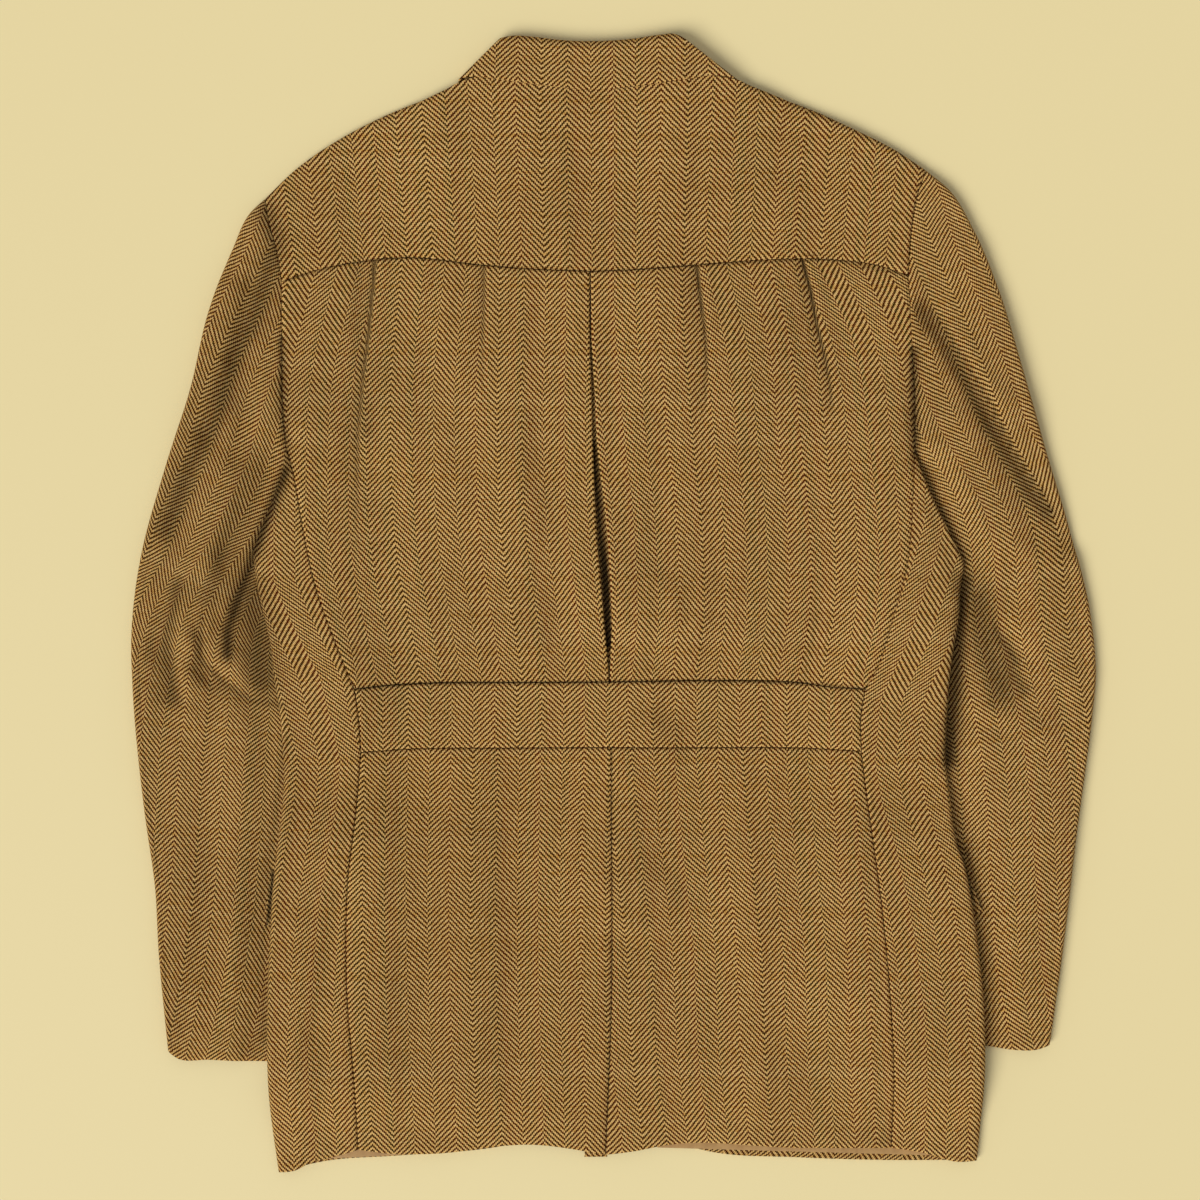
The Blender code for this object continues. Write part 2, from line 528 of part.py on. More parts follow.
def pleat_columns(left_x, right_x, y, thick):
    """Centre line of the inverted pleat from the left edge round to the right edge, for one row."""
    bend = (thick + LAYER_GAP) / 2
    arc = np.radians([0, 60, 120, 180])
    reach = thick / 2 + bend
    turns = [
        (left_x - reach, 0.0, 1, 1),
        (left_x - PLEAT_DEPTH, 2.0, -1, 1),
        (right_x + PLEAT_DEPTH, 4.0, 1, -1),
        (right_x + reach, 2.0, -1, -1),
    ]
    x, drop = [], []
    for centre, level, out, down in turns:
        x.extend(centre + out * bend * np.sin(arc))
        drop.extend(bend * (level + down * (1 - np.cos(arc))))
    x, drop = np.array(x), np.array(drop)
    z = back_face(x, np.full(len(x), y)) - thick / 2 - drop
    return np.stack([x, np.full(len(x), y), z], axis=-1)


def build_back_upper(seams):
    """Back from yoke to belt, in one piece, with the centre pleat folded under."""
    rows = UPPER_ARM_ROWS + WAIST_ROWS
    v_line = np.linspace(0, 1, rows + 1)
    halves = {}
    for side, other in (("left", "right"), ("right", "left")):
        outside = joined(seams[side]["arm_back"], seams[side]["waist"])
        pleat = along(PLEAT_EDGE[side], v_line)
        top, bottom = seams[side]["yoke_seam"], seams[side]["belt_top"]
        edges = (outside, pleat) if side == "left" else (pleat, outside)
        halves[side] = patch(top, bottom, *edges)
    inner_u = np.linspace(0, 1, HALF_BACK_COLUMNS + 1)[:-1]
    outer_rows, inner_rows = [], []
    trim = np.where(v_line == 0, BACK_TRIM, np.where(v_line == 1, -BACK_TRIM, 0)) / BACK_LENGTH
    for v in v_line + trim:
        flat = {}
        for side, u in (("left", inner_u), ("right", 1 - inner_u[::-1])):
            x, y = halves[side](u, np.full(u.shape, v))
            flat[side] = np.stack([x, y, back_face(x, y) - PLEAT_WALL / 2], axis=-1)
        edge = {side: halves[side](np.array([float(side == "left")]), np.array([v])) for side in halves}
        fold = pleat_columns(edge["left"][0][0], edge["right"][0][0], edge["left"][1][0], PLEAT_WALL)
        line = np.concatenate([flat["left"], fold, flat["right"]])
        run = np.gradient(line[:, [0, 2]], axis=0)
        run /= np.linalg.norm(run, axis=1, keepdims=True)
        normal = np.stack([-run[:, 1], np.zeros(len(run)), run[:, 0]], axis=-1)
        outer_rows.append(line + normal * PLEAT_WALL / 2)
        inner_rows.append(line - normal * PLEAT_WALL / 2)
    outer, inner = pull(np.array(outer_rows), sides="lr"), pull(np.array(inner_rows), sides="lr")
    wall("back_upper", outer, inner)


def build_belt(seams):
    """Half belt set in between back and skirt."""
    top = joined(seams["left"]["belt_top"], seams["right"]["belt_top"])
    bottom = joined(seams["left"]["belt_bottom"], seams["right"]["belt_bottom"])
    place = patch(top, bottom, seams["left"]["belt"], seams["right"]["belt"])
    u = np.linspace(0, 1, len(top))
    panel("belt", place, u, np.linspace(0, 1, BELT_ROWS + 1), 1, BACK_WALL, back_face, front_face)


def build_skirts(seams):
    """The two skirt halves; the left one laps over the right one's vent extension."""
    centre = stations(CENTRE_SEAM, SKIRT_ROWS)
    u = np.linspace(0, 1, HALF_BACK_COLUMNS + 1)
    v = np.linspace(0, 1, SKIRT_ROWS + 1)
    left = patch(seams["left"]["belt_bottom"], seams["left"]["hem_back"], seams["left"]["skirt"], centre)
    panel("skirt_left", left, u, v, 1, BACK_WALL, back_face, front_face)
    right = patch(seams["right"]["belt_bottom"], seams["right"]["hem_back"], centre, seams["right"]["skirt"])
    vent_start = CENTRE_SEAM[0][1] - VENT_TOP
    u, v = np.meshgrid(u, v)
    grids = []
    for inset in (0.0, BACK_WALL):
        main = on_face(right, u, v, np.ones(u.shape), 1, inset, back_face, front_face)
        main = pull(main, sides="tblr")
        lap = []
        for shift in (-VENT_LAP, VENT_INSIDE):
            strip = main[:, 0].copy()
            strip[:, 0] += shift
            sunk = BACK_WALL + VENT_GAP
            strip[:, 2] = back_face(strip[:, 0], strip[:, 1]) - sunk - inset * VENT_THINNING
            lap.append(strip[:, None])
        main[v[:, 0] * SKIRT_LENGTH > vent_start, 0, 0] += VENT_BACK
        grids.append(np.concatenate(lap + [main], axis=1))
    cells = np.ones((SKIRT_ROWS, grids[0].shape[1] - 1), bool)
    closed = np.arange(SKIRT_ROWS) / SKIRT_ROWS * SKIRT_LENGTH <= vent_start
    cells[closed, :2] = False
    wall("skirt_right", grids[0], grids[1], cells)


def build_front(side, seams):
    """Front: from the side-back seam, round the side fold, to the front edge."""
    own = seams[side]
    fold_rows = WAIST_ROWS + BELT_ROWS + SKIRT_ROWS
    seam = joined(own["waist"], own["belt"], own["skirt"])
    fold = stations(SIDE_FOLD[side], fold_rows)
    upper_place = patch(own["arm_side"], stations(HEM_SIDE[side], SIDE_COLUMNS), seam, fold)
    outside = joined(own["arm_front"], own["front_underarm"], fold)
    edge_line = stations(FRONT_EDGE[side], 60)
    edge_y = np.interp(outside[:, 1], [outside[-1, 1], outside[0, 1]], [edge_line[-1, 1], edge_line[0, 1]])
    edge_x = np.interp(-edge_y, -edge_line[:, 1], edge_line[:, 0])
    front_line = np.stack([edge_x, edge_y], axis=-1)
    shoulder = stations(SHOULDER[side][:-1] + [FRONT_EDGE[side][0]], FRONT_COLUMNS)
    lower_place = patch(shoulder, stations(HEM_FRONT[side], FRONT_COLUMNS), outside, front_line)
    steps = len(outside) - 1
    first = np.linalg.norm(outside[1] - outside[0])
    grids = []
    for inset in (0.0, FRONT_WALL):
        near = roll_in(ROLL_ANGLES, BODY_ROLL, inset) / first / steps
        v_low = np.concatenate([near, np.arange(1, steps + 1) / steps])
        drop = np.concatenate([np.sin(np.radians(ROLL_ANGLES)), np.ones(steps)])
        v_up = np.linspace(0, 1, fold_rows + 1)
        v_up_full = np.concatenate([np.zeros(len(v_low) - len(v_up)), v_up])
        lx, ly = lower_place(np.zeros(len(v_low)), v_low)
        rx, ry = lower_place(np.ones(len(v_low)), v_low)
        low_width = np.hypot(rx - lx, ry - ly)
        sx, sy = upper_place(np.zeros(len(v_up_full)), v_up_full)
        fx, fy = upper_place(np.ones(len(v_up_full)), v_up_full)
        up_width = np.hypot(fx - sx, fy - sy)
        columns = []
        for u in np.arange(SIDE_COLUMNS) / SIDE_COLUMNS:
            full = np.full(len(v_up_full), u)
            columns.append(on_face(upper_place, full, v_up_full, 1.0, 1, inset, back_face, front_face))
        for angle in (90.0, 45.0, 0.0):
            u = 1 - roll_in(angle, BODY_ROLL, inset) / up_width
            columns.append(on_face(upper_place, u, v_up_full, np.sin(np.radians(angle)), 1, inset,
                                   back_face, front_face))
        first_low = len(columns) + 1
        on_fold = np.arange(len(v_low)) >= len(v_low) - len(v_up)
        for angle in (45.0, 90.0):
            u = np.where(on_fold, roll_in(angle, BODY_ROLL, inset) / low_width, SEAM / low_width)
            columns.append(on_face(lower_place, u, v_low, np.sin(np.radians(angle)) * drop, -1, inset,
                                   back_face, front_face))
        for u in np.arange(1, FRONT_COLUMNS + 1) / FRONT_COLUMNS:
            full = np.full(len(v_low), u)
            columns.append(on_face(lower_place, full, v_low, drop, -1, inset, back_face, front_face))
        grid = pull(np.stack(columns, axis=1), sides="blr")
        top_row = len(v_low) - len(v_up)
        grid[top_row, :SIDE_COLUMNS + 1, 1] -= SEAM
        grids.append(grid)
    cells = np.ones((grids[0].shape[0] - 1, grids[0].shape[1] - 1), bool)
    cells[:top_row, :first_low] = False
    wall("front_" + side, grids[0], grids[1], cells)


def build_sleeve(side, seams):
    """Two-piece sleeve: upper piece seen from the back, under piece on the floor."""
    own = seams[side]
    top_row = joined(own["arm_yoke"], own["arm_back"], own["sleeve_side"])
    low_row = joined(own["arm_front"], own["sleeve_underarm"])
    count, low_count = len(top_row) - 1, len(low_row) - 1
    outer = stations(SLEEVE_OUTER[side], SLEEVE_ROWS)
    inner_edge = stations(SLEEVE_INNER[side], SLEEVE_ROWS)
    upper_place = patch(top_row, stations(CUFF[side], count), outer, inner_edge)
    lower_place = patch(low_row, stations(CUFF[side], low_count), outer, inner_edge)
    v = np.linspace(0, 1, SLEEVE_ROWS + 1)
    width = np.linalg.norm(outer - inner_edge, axis=1)
    upper, under = [], []
    for inset in (0.0, SLEEVE_WALL):

        def column(place, u, weight, face):
            u = np.broadcast_to(u, v.shape)
            return on_face(place, u, v, weight, face, inset, sleeve_face, floor_face)

        def rolled(angle, face):
            share = roll_in(angle, SLEEVE_ROLL, inset) / width
            place = upper_place if face > 0 else lower_place
            return share, place, np.sin(np.radians(angle))

        tops = [column(upper_place, j / count, 1.0, 1) for j in range(1, count)]
        inner_roll = []
        for angle, face in ((90, 1), (45, 1), (0, 1), (45, -1), (90, -1)):
            share, place, weight = rolled(angle, face)
            inner_roll.append(column(place, 1 - share, weight, face))
        lows = [column(lower_place, j / low_count, 1.0, -1) for j in range(low_count - 1, 0, -1)]
        outer_roll = []
        for angle, face in ((90, -1), (45, -1), (0, 1), (45, 1), (90, 1)):
            share, place, weight = rolled(angle, face)
            outer_roll.append(column(place, share, weight, face))
        upper.append(pull(np.stack(tops + inner_roll + lows[:2], axis=1), sides="tblr"))
        under.append(pull(np.stack(lows[1:] + outer_roll + tops[:1], axis=1), sides="tblr"))
    wall("top_sleeve_" + side, upper[0], upper[1])
    wall("under_sleeve_" + side, under[0], under[1])


def build_collar():
    """Collar fall, folded over the neck, and the stand inside it."""
    # Of each layer: name, depth under the collar's upper face, thickness, distance in from the ends of
    # the neck, where its rows run from and to, the share of them on the ends, the ends' reach, and rows.
    layers = (
        ("collar", 0.0, COLLAR_WALL, 0.0, (0.0, 1.0), 1.0, 0.97, 4),
        ("collar_stand", COLLAR_WALL + LAYER_GAP, PLEAT_WALL, 0.0026, (0.10, 0.46), 0.50, 0.80, 3),
    )
    back_place = patch(stations(COLLAR_FOLD, COLLAR_COLUMNS), stations(COLLAR_EDGE, COLLAR_COLUMNS),
                       [COLLAR_FOLD[0], COLLAR_EDGE[0]], [COLLAR_FOLD[-1], COLLAR_EDGE[-1]])
    ends = {side: patch(stations(COLLAR_END[side]["fold"], 8), stations(COLLAR_END[side]["edge"], 8),
                        [COLLAR_END[side]["fold"][0], COLLAR_END[side]["edge"][0]],
                        [COLLAR_END[side]["fold"][-1], COLLAR_END[side]["edge"][-1]]) for side in COLLAR_END}

    def top_face(x, y):
        return np.full(np.shape(x), COLLAR_TOP)

    for name, sunk, thick, side_inset, reach, end_reach, end_stop, rows in layers:
        v = np.linspace(reach[0], reach[1], rows + 1)
        grids = []
        for inset in (0.0, thick):
            deep = sunk + inset
            columns = []

            def column(place, u, weight, face):
                across = v * (end_reach if face < 0 else 1.0)
                return on_face(place, np.broadcast_to(u, v.shape), across, weight, face, deep, top_face, floor_face)

            span = COLLAR_EDGE[-1][0] - COLLAR_EDGE[0][0]
            stops = np.linspace(end_stop, 0, COLLAR_END_COLUMNS + 1)[:-1]
            angles = ((90, -1), (45, -1), (0, 1), (45, 1), (90, 1))
            for u in stops:
                columns.append(column(ends["left"], u, 1.0, -1))
            for angle, face in angles:
                far = side_inset + roll_in(angle, BODY_ROLL, inset)
                weight = np.sin(np.radians(angle))
                place, share = (back_place, far / span) if face > 0 else (ends["left"], far / COLLAR_END_SPAN)
                columns.append(column(place, share, weight, face))
            for u in np.arange(1, COLLAR_COLUMNS) / COLLAR_COLUMNS:
                columns.append(column(back_place, u, 1.0, 1))
            for angle, face in angles[::-1]:
                far = side_inset + roll_in(angle, BODY_ROLL, inset)
                weight = np.sin(np.radians(angle))
                place, share = (back_place, 1 - far / span) if face > 0 else (ends["right"], far / COLLAR_END_SPAN)
                columns.append(column(place, share, weight, face))
            for u in stops[::-1]:
                columns.append(column(ends["right"], u, 1.0, -1))
            grids.append(np.stack(columns, axis=1))
        wall(name, grids[0], grids[1])


def build_flat_pieces(side):
    """Lapel, patch pocket, pocket flap and lining strip of one side."""
    lapel = LAPEL[side]
    place = patch(stations(lapel["gorge"], 4), stations(lapel["tip"], 4), stations(lapel["edge"], 8),
                  stations(lapel["roll"], 8))

    def lapel_top(x, y):
        return np.full(np.shape(x), LAPEL_WALL)

    panel("lapel_" + side, place, np.linspace(0, 1, 5), np.linspace(0, 1, 9), -1, LAPEL_WALL, lapel_top, floor_face)
    shapes = (
        ("pocket_", POCKET[side], lambda x, y: sleeve_lift(x, y) + flap_lift(x, y), POCKET_WALL, TWEED),
        ("pocket_flap_", POCKET_FLAP[side], sleeve_lift, POCKET_WALL, TWEED),
        ("lining_", LINING[side], lambda x, y: front_face(x, y) + FRONT_WALL + LINING_GAP, LINING_WALL, LINING_COLOR),
    )
    for name, corners, low, thick, color in shapes:
        a, b, c, d = corners
        place = patch([a, b], [d, c], [a, d], [b, c])

        def high(x, y, low=low, thick=thick):
            return low(x, y) + thick

        panel(name + side, place, np.linspace(0, 1, 9), np.linspace(0, 1, 7), -1, thick, high, low, color=color)


def build_buttons():
    """Three flat buttons with a rounded rim under the right front."""
    for number, (x, y) in enumerate(BUTTONS, start=1):
        bpy.ops.mesh.primitive_cylinder_add(vertices=24, radius=BUTTON_RADIUS, depth=BUTTON_THICKNESS,
                                            location=(x, y, BUTTON_THICKNESS / 2))
        button = bpy.context.object
        button.name = "button_%d" % number
        button.data.materials.append(cloth_material("button", BUTTON_COLOR, 0.4))
        bevel = button.modifiers.new("rim", "BEVEL")
        bevel.width = 0.0006
        bevel.segments = 1


for thing in list(bpy.data.objects):
    bpy.data.objects.remove(thing)
SEAMS = {side: shared_seams(side) for side in ("left", "right")}
build_yoke(SEAMS)
build_back_upper(SEAMS)
build_belt(SEAMS)
build_skirts(SEAMS)
for hand in ("left", "right"):
    build_front(hand, SEAMS)
    build_sleeve(hand, SEAMS)
    build_flat_pieces(hand)
build_collar()
build_buttons()
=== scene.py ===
import bpy
import numpy as np
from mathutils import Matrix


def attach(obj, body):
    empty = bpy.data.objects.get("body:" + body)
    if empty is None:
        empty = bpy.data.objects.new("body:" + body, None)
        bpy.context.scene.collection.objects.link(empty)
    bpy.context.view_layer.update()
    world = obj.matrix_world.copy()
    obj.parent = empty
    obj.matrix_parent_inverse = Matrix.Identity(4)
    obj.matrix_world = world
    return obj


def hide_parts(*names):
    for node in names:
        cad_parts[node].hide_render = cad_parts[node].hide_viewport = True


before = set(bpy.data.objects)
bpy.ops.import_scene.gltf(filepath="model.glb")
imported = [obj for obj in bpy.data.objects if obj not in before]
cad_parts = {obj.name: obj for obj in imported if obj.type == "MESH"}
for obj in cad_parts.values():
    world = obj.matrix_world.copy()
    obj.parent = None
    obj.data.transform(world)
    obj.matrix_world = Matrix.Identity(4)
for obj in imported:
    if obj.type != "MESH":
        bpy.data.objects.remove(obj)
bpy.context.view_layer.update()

# Yoke: one piece of tweed across the shoulders, sewn to the back below and to the sleeves at its
# ends. Its upper edge is set under the collar, and beside it the shoulders turn over to meet the
# fronts. The stripes stand upright and come a little closer together downward.
SIDES = ("left", "right")
ARMHOLE_YOKE = {
    "left": [(-0.2453, 0.2835), (-0.2425, 0.2674), (-0.2369, 0.2471), (-0.2334, 0.2254)],
    "right": [(0.2188, 0.3035), (0.2124, 0.2856), (0.2086, 0.264), (0.2061, 0.2296)],
}
YOKE_SEAM = {
    "left": [(-0.2334, 0.2254), (-0.2082, 0.2338), (-0.1875, 0.238), (-0.1459, 0.2422), (-0.0914, 0.2366),
             (-0.0508, 0.2336), (-0.0172, 0.2324)],
    "right": [(-0.0166, 0.2324), (0.0179, 0.2338), (0.0549, 0.2366), (0.0998, 0.2401), (0.1515, 0.2408),
              (0.183, 0.2373), (0.2061, 0.2296)],
}
SHOULDER = {
    "left": [(-0.2453, 0.2835), (-0.2251, 0.3031), (-0.183, 0.3311), (-0.1354, 0.3521), (-0.1103, 0.364)],
    "right": [(0.2188, 0.3035), (0.1984, 0.3171), (0.1711, 0.3311), (0.1221, 0.3521), (0.0872, 0.3661)],
}
NECK = [(-0.1103, 0.364), (-0.0955, 0.3689), (-0.0662, 0.3731), (-0.0123, 0.3745), (0.0459, 0.3731),
        (0.0725, 0.3689), (0.0872, 0.3661)]
BACK_WALL = 0.0020
BODY_ROLL = 0.0045
TURN = np.linspace(0, 90, 9)
YOKE_WIDTH = 0.45
YOKE_HEIGHT = 0.12
NECK_MIDDLE = -0.0115
NECK_HALF = 0.1045

# Lines that the coat's underside follows, all as places (x, y) in metres: the fold at each side, the
# sleeves under it, the collar, the turned lapels, the pockets and the buttons. The coat lies on
# them, so the height of the yoke and of every later piece starts from them.
SIDE_FOLD = {
    "left": [(-0.2537, 0.035), (-0.2495, 0.0063), (-0.244, -0.015), (-0.2404, -0.0329),
             (-0.2387, -0.0507), (-0.2351, -0.0721), (-0.2327, -0.0987), (-0.2316, -0.1222),
             (-0.2325, -0.1417), (-0.2351, -0.165), (-0.2388, -0.1988), (-0.2402, -0.2239),
             (-0.2425, -0.329), (-0.2404, -0.3647), (-0.2357, -0.3997)],
    "right": [(0.2453, 0.028), (0.2425, 0.0084), (0.2417, -0.0112), (0.2381, -0.0294), (0.2356, -0.0469),
              (0.2327, -0.0864), (0.2319, -0.1078), (0.2346, -0.1329), (0.239, -0.1666), (0.2444, -0.181),
              (0.2488, -0.2043), (0.2551, -0.2489), (0.2578, -0.2757), (0.2592, -0.3167),
              (0.2569, -0.3647), (0.2545, -0.3913)],
}
SLEEVE_UNDERARM = {
    "left": [(-0.221, 0.175), (-0.223, 0.08), (-0.215, 0.03)],
    "right": [(0.199, 0.175), (0.204, 0.08), (0.197, 0.028)],
}
SLEEVE_INNER = {
    "left": [(-0.215, 0.03), (-0.209, -0.02), (-0.197, -0.0959), (-0.1886, -0.1729), (-0.19, -0.2429),
             (-0.1935, -0.3213)],
    "right": [(0.197, 0.028), (0.195, -0.02), (0.189, -0.0959), (0.183, -0.1729), (0.1817, -0.2429),
              (0.1858, -0.3101)],
}
COLLAR_FOLD = [(-0.0801, 0.3962), (-0.0731, 0.3976), (-0.0556, 0.3969), (-0.0381, 0.3948),
               (-0.0123, 0.394), (0.0143, 0.3958), (0.0318, 0.3983), (0.0416, 0.399), (0.0473, 0.3969)]
COLLAR_EDGE = [(-0.1095, 0.3668), (-0.0986, 0.3683), (-0.0794, 0.3661), (-0.0469, 0.3619),
               (-0.0158, 0.3591), (0.0192, 0.3619), (0.0522, 0.3668), (0.0703, 0.3693), (0.0864, 0.3668)]
COLLAR_END = {
    "left": {"edge": [(-0.1095, 0.3668), (-0.116, 0.342), (-0.112, 0.318), (-0.104, 0.296)],
             "fold": [(-0.0801, 0.3962), (-0.07, 0.368), (-0.06, 0.335), (-0.053, 0.306)]},
    "right": {"edge": [(0.0864, 0.3668), (0.096, 0.342), (0.098, 0.318), (0.093, 0.296)],
              "fold": [(0.0473, 0.3969), (0.048, 0.368), (0.048, 0.335), (0.047, 0.306)]},
}
LAPEL = {
    "left": {"gorge": [(-0.118, 0.274), (-0.0555, 0.299)],
             "tip": [(-0.0085, 0.012), (-0.005, 0.012)],
             "edge": [(-0.118, 0.274), (-0.113, 0.205), (-0.062, 0.09), (-0.0085, 0.012)],
             "roll": [(-0.0555, 0.299), (-0.03, 0.15), (-0.005, 0.012)]},
    "right": {"gorge": [(0.109, 0.274), (0.0495, 0.299)],
              "tip": [(0.0062, 0.012), (0.0027, 0.012)],
              "edge": [(0.109, 0.274), (0.105, 0.205), (0.058, 0.09), (0.0062, 0.012)],
              "roll": [(0.0495, 0.299), (0.0262, 0.15), (0.0027, 0.012)]},
}
POCKET = {
    "left": [(-0.24, -0.18), (-0.11, -0.182), (-0.11, -0.33), (-0.2435, -0.327)],
    "right": [(0.244, -0.178), (0.112, -0.182), (0.112, -0.33), (0.26, -0.327)],
}
POCKET_FLAP = {
    "left": [(-0.2368, -0.1735), (-0.107, -0.178), (-0.106, -0.23), (-0.2474, -0.226)],
    "right": [(0.2395, -0.169), (0.109, -0.178), (0.108, -0.23), (0.259, -0.217)],
}
BUTTONS = [(0.02, 0.0), (0.02, -0.105), (0.02, -0.21)]
BUTTON_RADIUS = 0.0115
SEAM = 0.0002
BODY_DEPTH = 0.0078
SLEEVE_LIFT = 0.0049
LAPEL_LIFT = 0.0023
POCKET_LIFT = 0.0041
BUTTON_LIFT = 0.0029

# Creases of the upper faces: from (x0, y0) to (x1, y1), width and height, and the share of the
# width left on the side at the right hand of the line, below one for a crease pressed to one side.
CREASES = [
    (-0.1795, 0.1421, -0.178, 0.0973, 0.011, -0.0012, 1.0),
    (-0.0529, 0.1316, -0.036, -0.0364, 0.01, -0.0014, 1.0),
    (0.0319, 0.133, 0.0305, -0.0385, 0.01, -0.0014, 1.0),
    (-0.07, 0.22, -0.064, -0.03, 0.016, 0.0011, 1.0),
    (0.08, 0.22, 0.09, -0.02, 0.018, 0.0012, 1.0),
    (-0.12, 0.22, -0.125, 0.0, 0.018, 0.0011, 1.0),
    (-0.1886, -0.2044, -0.2065, -0.3024, 0.009, -0.0022, 1.0),
    (-0.2065, -0.3024, -0.2006, -0.3829, 0.01, -0.0016, 1.0),
    (-0.22, -0.23, -0.224, -0.37, 0.014, 0.0014, 1.0),
    (-0.01, 0.24, -0.004, -0.1, 0.04, 0.0014, 1.0),
    (-0.2538, 0.2261, -0.2656, 0.1708, 0.0085, -0.0029, 0.6),
    (-0.2656, 0.1708, -0.286, 0.119, 0.0093, -0.0032, 0.6),
    (-0.286, 0.119, -0.3084, 0.0532, 0.0102, -0.0032, 1.0),
    (-0.2559, 0.1729, -0.2636, 0.1008, 0.0076, -0.0022, 1.0),
    (-0.272, 0.218, -0.3, 0.119, 0.0127, 0.0027, 1.0),
    (-0.27, 0.13, -0.29, 0.03, 0.0127, 0.0034, 1.0),
    (-0.3098, 0.0098, -0.3175, -0.0301, 0.0068, -0.0035, 1.0),
    (-0.3175, -0.0301, -0.314, -0.0623, 0.0076, -0.0029, 1.0),
    (-0.2916, -0.0196, -0.286, -0.0511, 0.0059, -0.0032, 0.6),
    (-0.286, -0.0511, -0.2552, -0.0686, 0.0068, -0.0029, 1.0),
    (-0.298, 0.005, -0.296, -0.08, 0.0102, 0.0027, 1.0),
    (-0.305, -0.1, -0.298, -0.27, 0.0136, 0.0017, 1.0),
    (-0.27, -0.09, -0.265, -0.26, 0.0127, 0.0014, 1.0),
    (0.2188, 0.2093, 0.2391, 0.1785, 0.007, -0.0027, 1.0),
    (0.2391, 0.1785, 0.2678, 0.1281, 0.0068, -0.0038, 1.6),
    (0.2678, 0.1281, 0.2937, 0.0833, 0.0068, -0.0038, 1.6),
    (0.2937, 0.0833, 0.3217, 0.0413, 0.0076, -0.0029, 1.0),
    (0.245, 0.24, 0.295, 0.125, 0.016, 0.0024, 1.0),
    (0.245, 0.13, 0.28, 0.04, 0.0127, 0.0027, 1.0),
    (0.2713, -0.0189, 0.2888, -0.0385, 0.0059, -0.0035, 1.0),
    (0.2678, -0.0686, 0.2818, -0.0546, 0.0059, -0.0022, 1.0),
    (0.2999, -0.0791, 0.312, -0.07, 0.0068, -0.0022, 1.0),
    (0.2412, -0.0812, 0.27, -0.088, 0.0068, -0.0019, 1.0),
    (0.295, 0.03, 0.31, -0.05, 0.0127, 0.0024, 1.0),
    (0.298, -0.1, 0.285, -0.27, 0.0153, 0.0017, 1.0),
    (-0.2397, 0.1456, -0.2636, 0.0301, 0.0085, 0.003, 1.0),
    (-0.2271, 0.1141, -0.2467, 0.0581, 0.006, -0.0026, 1.0),
    (-0.2537, 0.0196, -0.258, -0.0259, 0.0085, -0.0034, 1.0),
    (-0.2747, -0.0147, -0.2908, -0.0441, 0.006, -0.003, 1.0),
    (-0.2908, -0.0441, -0.2467, -0.0693, 0.0055, -0.0026, 1.0),
    (-0.2818, 0.0301, -0.2867, -0.0259, 0.007, 0.0026, 1.0),
    (-0.3196, -0.0238, -0.3063, -0.0665, 0.006, -0.003, 1.0),
    (-0.3111, 0.0091, -0.2999, -0.0259, 0.007, 0.0022, 1.0),
    (0.2097, 0.1344, 0.211, 0.0973, 0.0055, -0.003, 1.0),
    (0.2173, 0.2051, 0.2432, 0.1666, 0.0065, -0.003, 1.6),
    (0.2432, 0.1666, 0.2671, 0.1246, 0.0065, -0.0028, 1.6),
    (0.2349, 0.1911, 0.2698, 0.1421, 0.008, 0.0026, 1.0),
    (0.2419, 0.0861, 0.2628, 0.0301, 0.008, 0.0022, 1.0),
    (0.2243, 0.0721, 0.2453, 0.0091, 0.007, -0.0022, 1.0),
    (0.1719, 0.3171, 0.1509, 0.3031, 0.005, -0.001, 1.0),
    (0.2768, -0.0259, 0.2873, -0.0679, 0.007, -0.002, 1.0),
]


# Tucks below the yoke seam: places down each fold, heights, the cloth taken up there, and the depth
# of the groove at its top.
TUCKS = [
    ([-0.1677, -0.1691, -0.1726, -0.1761, -0.1796, -0.1803],
     [0.2408, 0.2205, 0.1848, 0.1582, 0.1211, 0.05], [0.018, 0.0145, 0.009, 0.006, 0.004, 0.001], 0.002),
    ([-0.0914, -0.0914, -0.0921, -0.0925], [0.2366, 0.2121, 0.1757, 0.15], [0.0065, 0.0042, 0.001, 0.0],
     0.0016),
    ([0.0578, 0.0613, 0.0641, 0.0648, 0.0627], [0.235, 0.2065, 0.1848, 0.1673, 0.1281],
     [0.014, 0.0068, 0.0024, 0.001, 0.0], 0.0026),
    ([0.132, 0.1376, 0.1425, 0.1481, 0.1516, 0.153], [0.2395, 0.2191, 0.1925, 0.1715, 0.1512, 0.13],
     [0.016, 0.0096, 0.0042, 0.002, 0.0008, 0.0], 0.0032),
]
GROOVE = 0.0021


def at_height(y, places, heights):
    """Values read at a height, straight between the values given at falling heights."""
    return np.interp(-y, -np.asarray(heights), places)


def tuck_height(x, y):
    """Sum of the tucks: a V groove, plus a bell at its right, less a lower bell at its left.

    All three go with the depth times the square root of the share of the tuck's length still below.
    """
    height = np.zeros(np.shape(x))
    for places, heights, _, depth in TUCKS:
        off = x - at_height(y, places, heights)
        left = np.clip((y - heights[-1]) / (heights[0] - heights[-1]), 0, 1) * (y < heights[0] + 0.004)
        deep = depth * np.sqrt(left)
        groove = -deep * np.clip(1 - np.abs(off) / GROOVE, 0, 1)
        beside = 0.55 * deep * np.exp(-((off - 0.0040) / 0.0060) ** 2)
        beside = beside - 0.30 * deep * np.exp(-((off + 0.0060) / 0.0080) ** 2)
        height = height + groove + beside
    return height


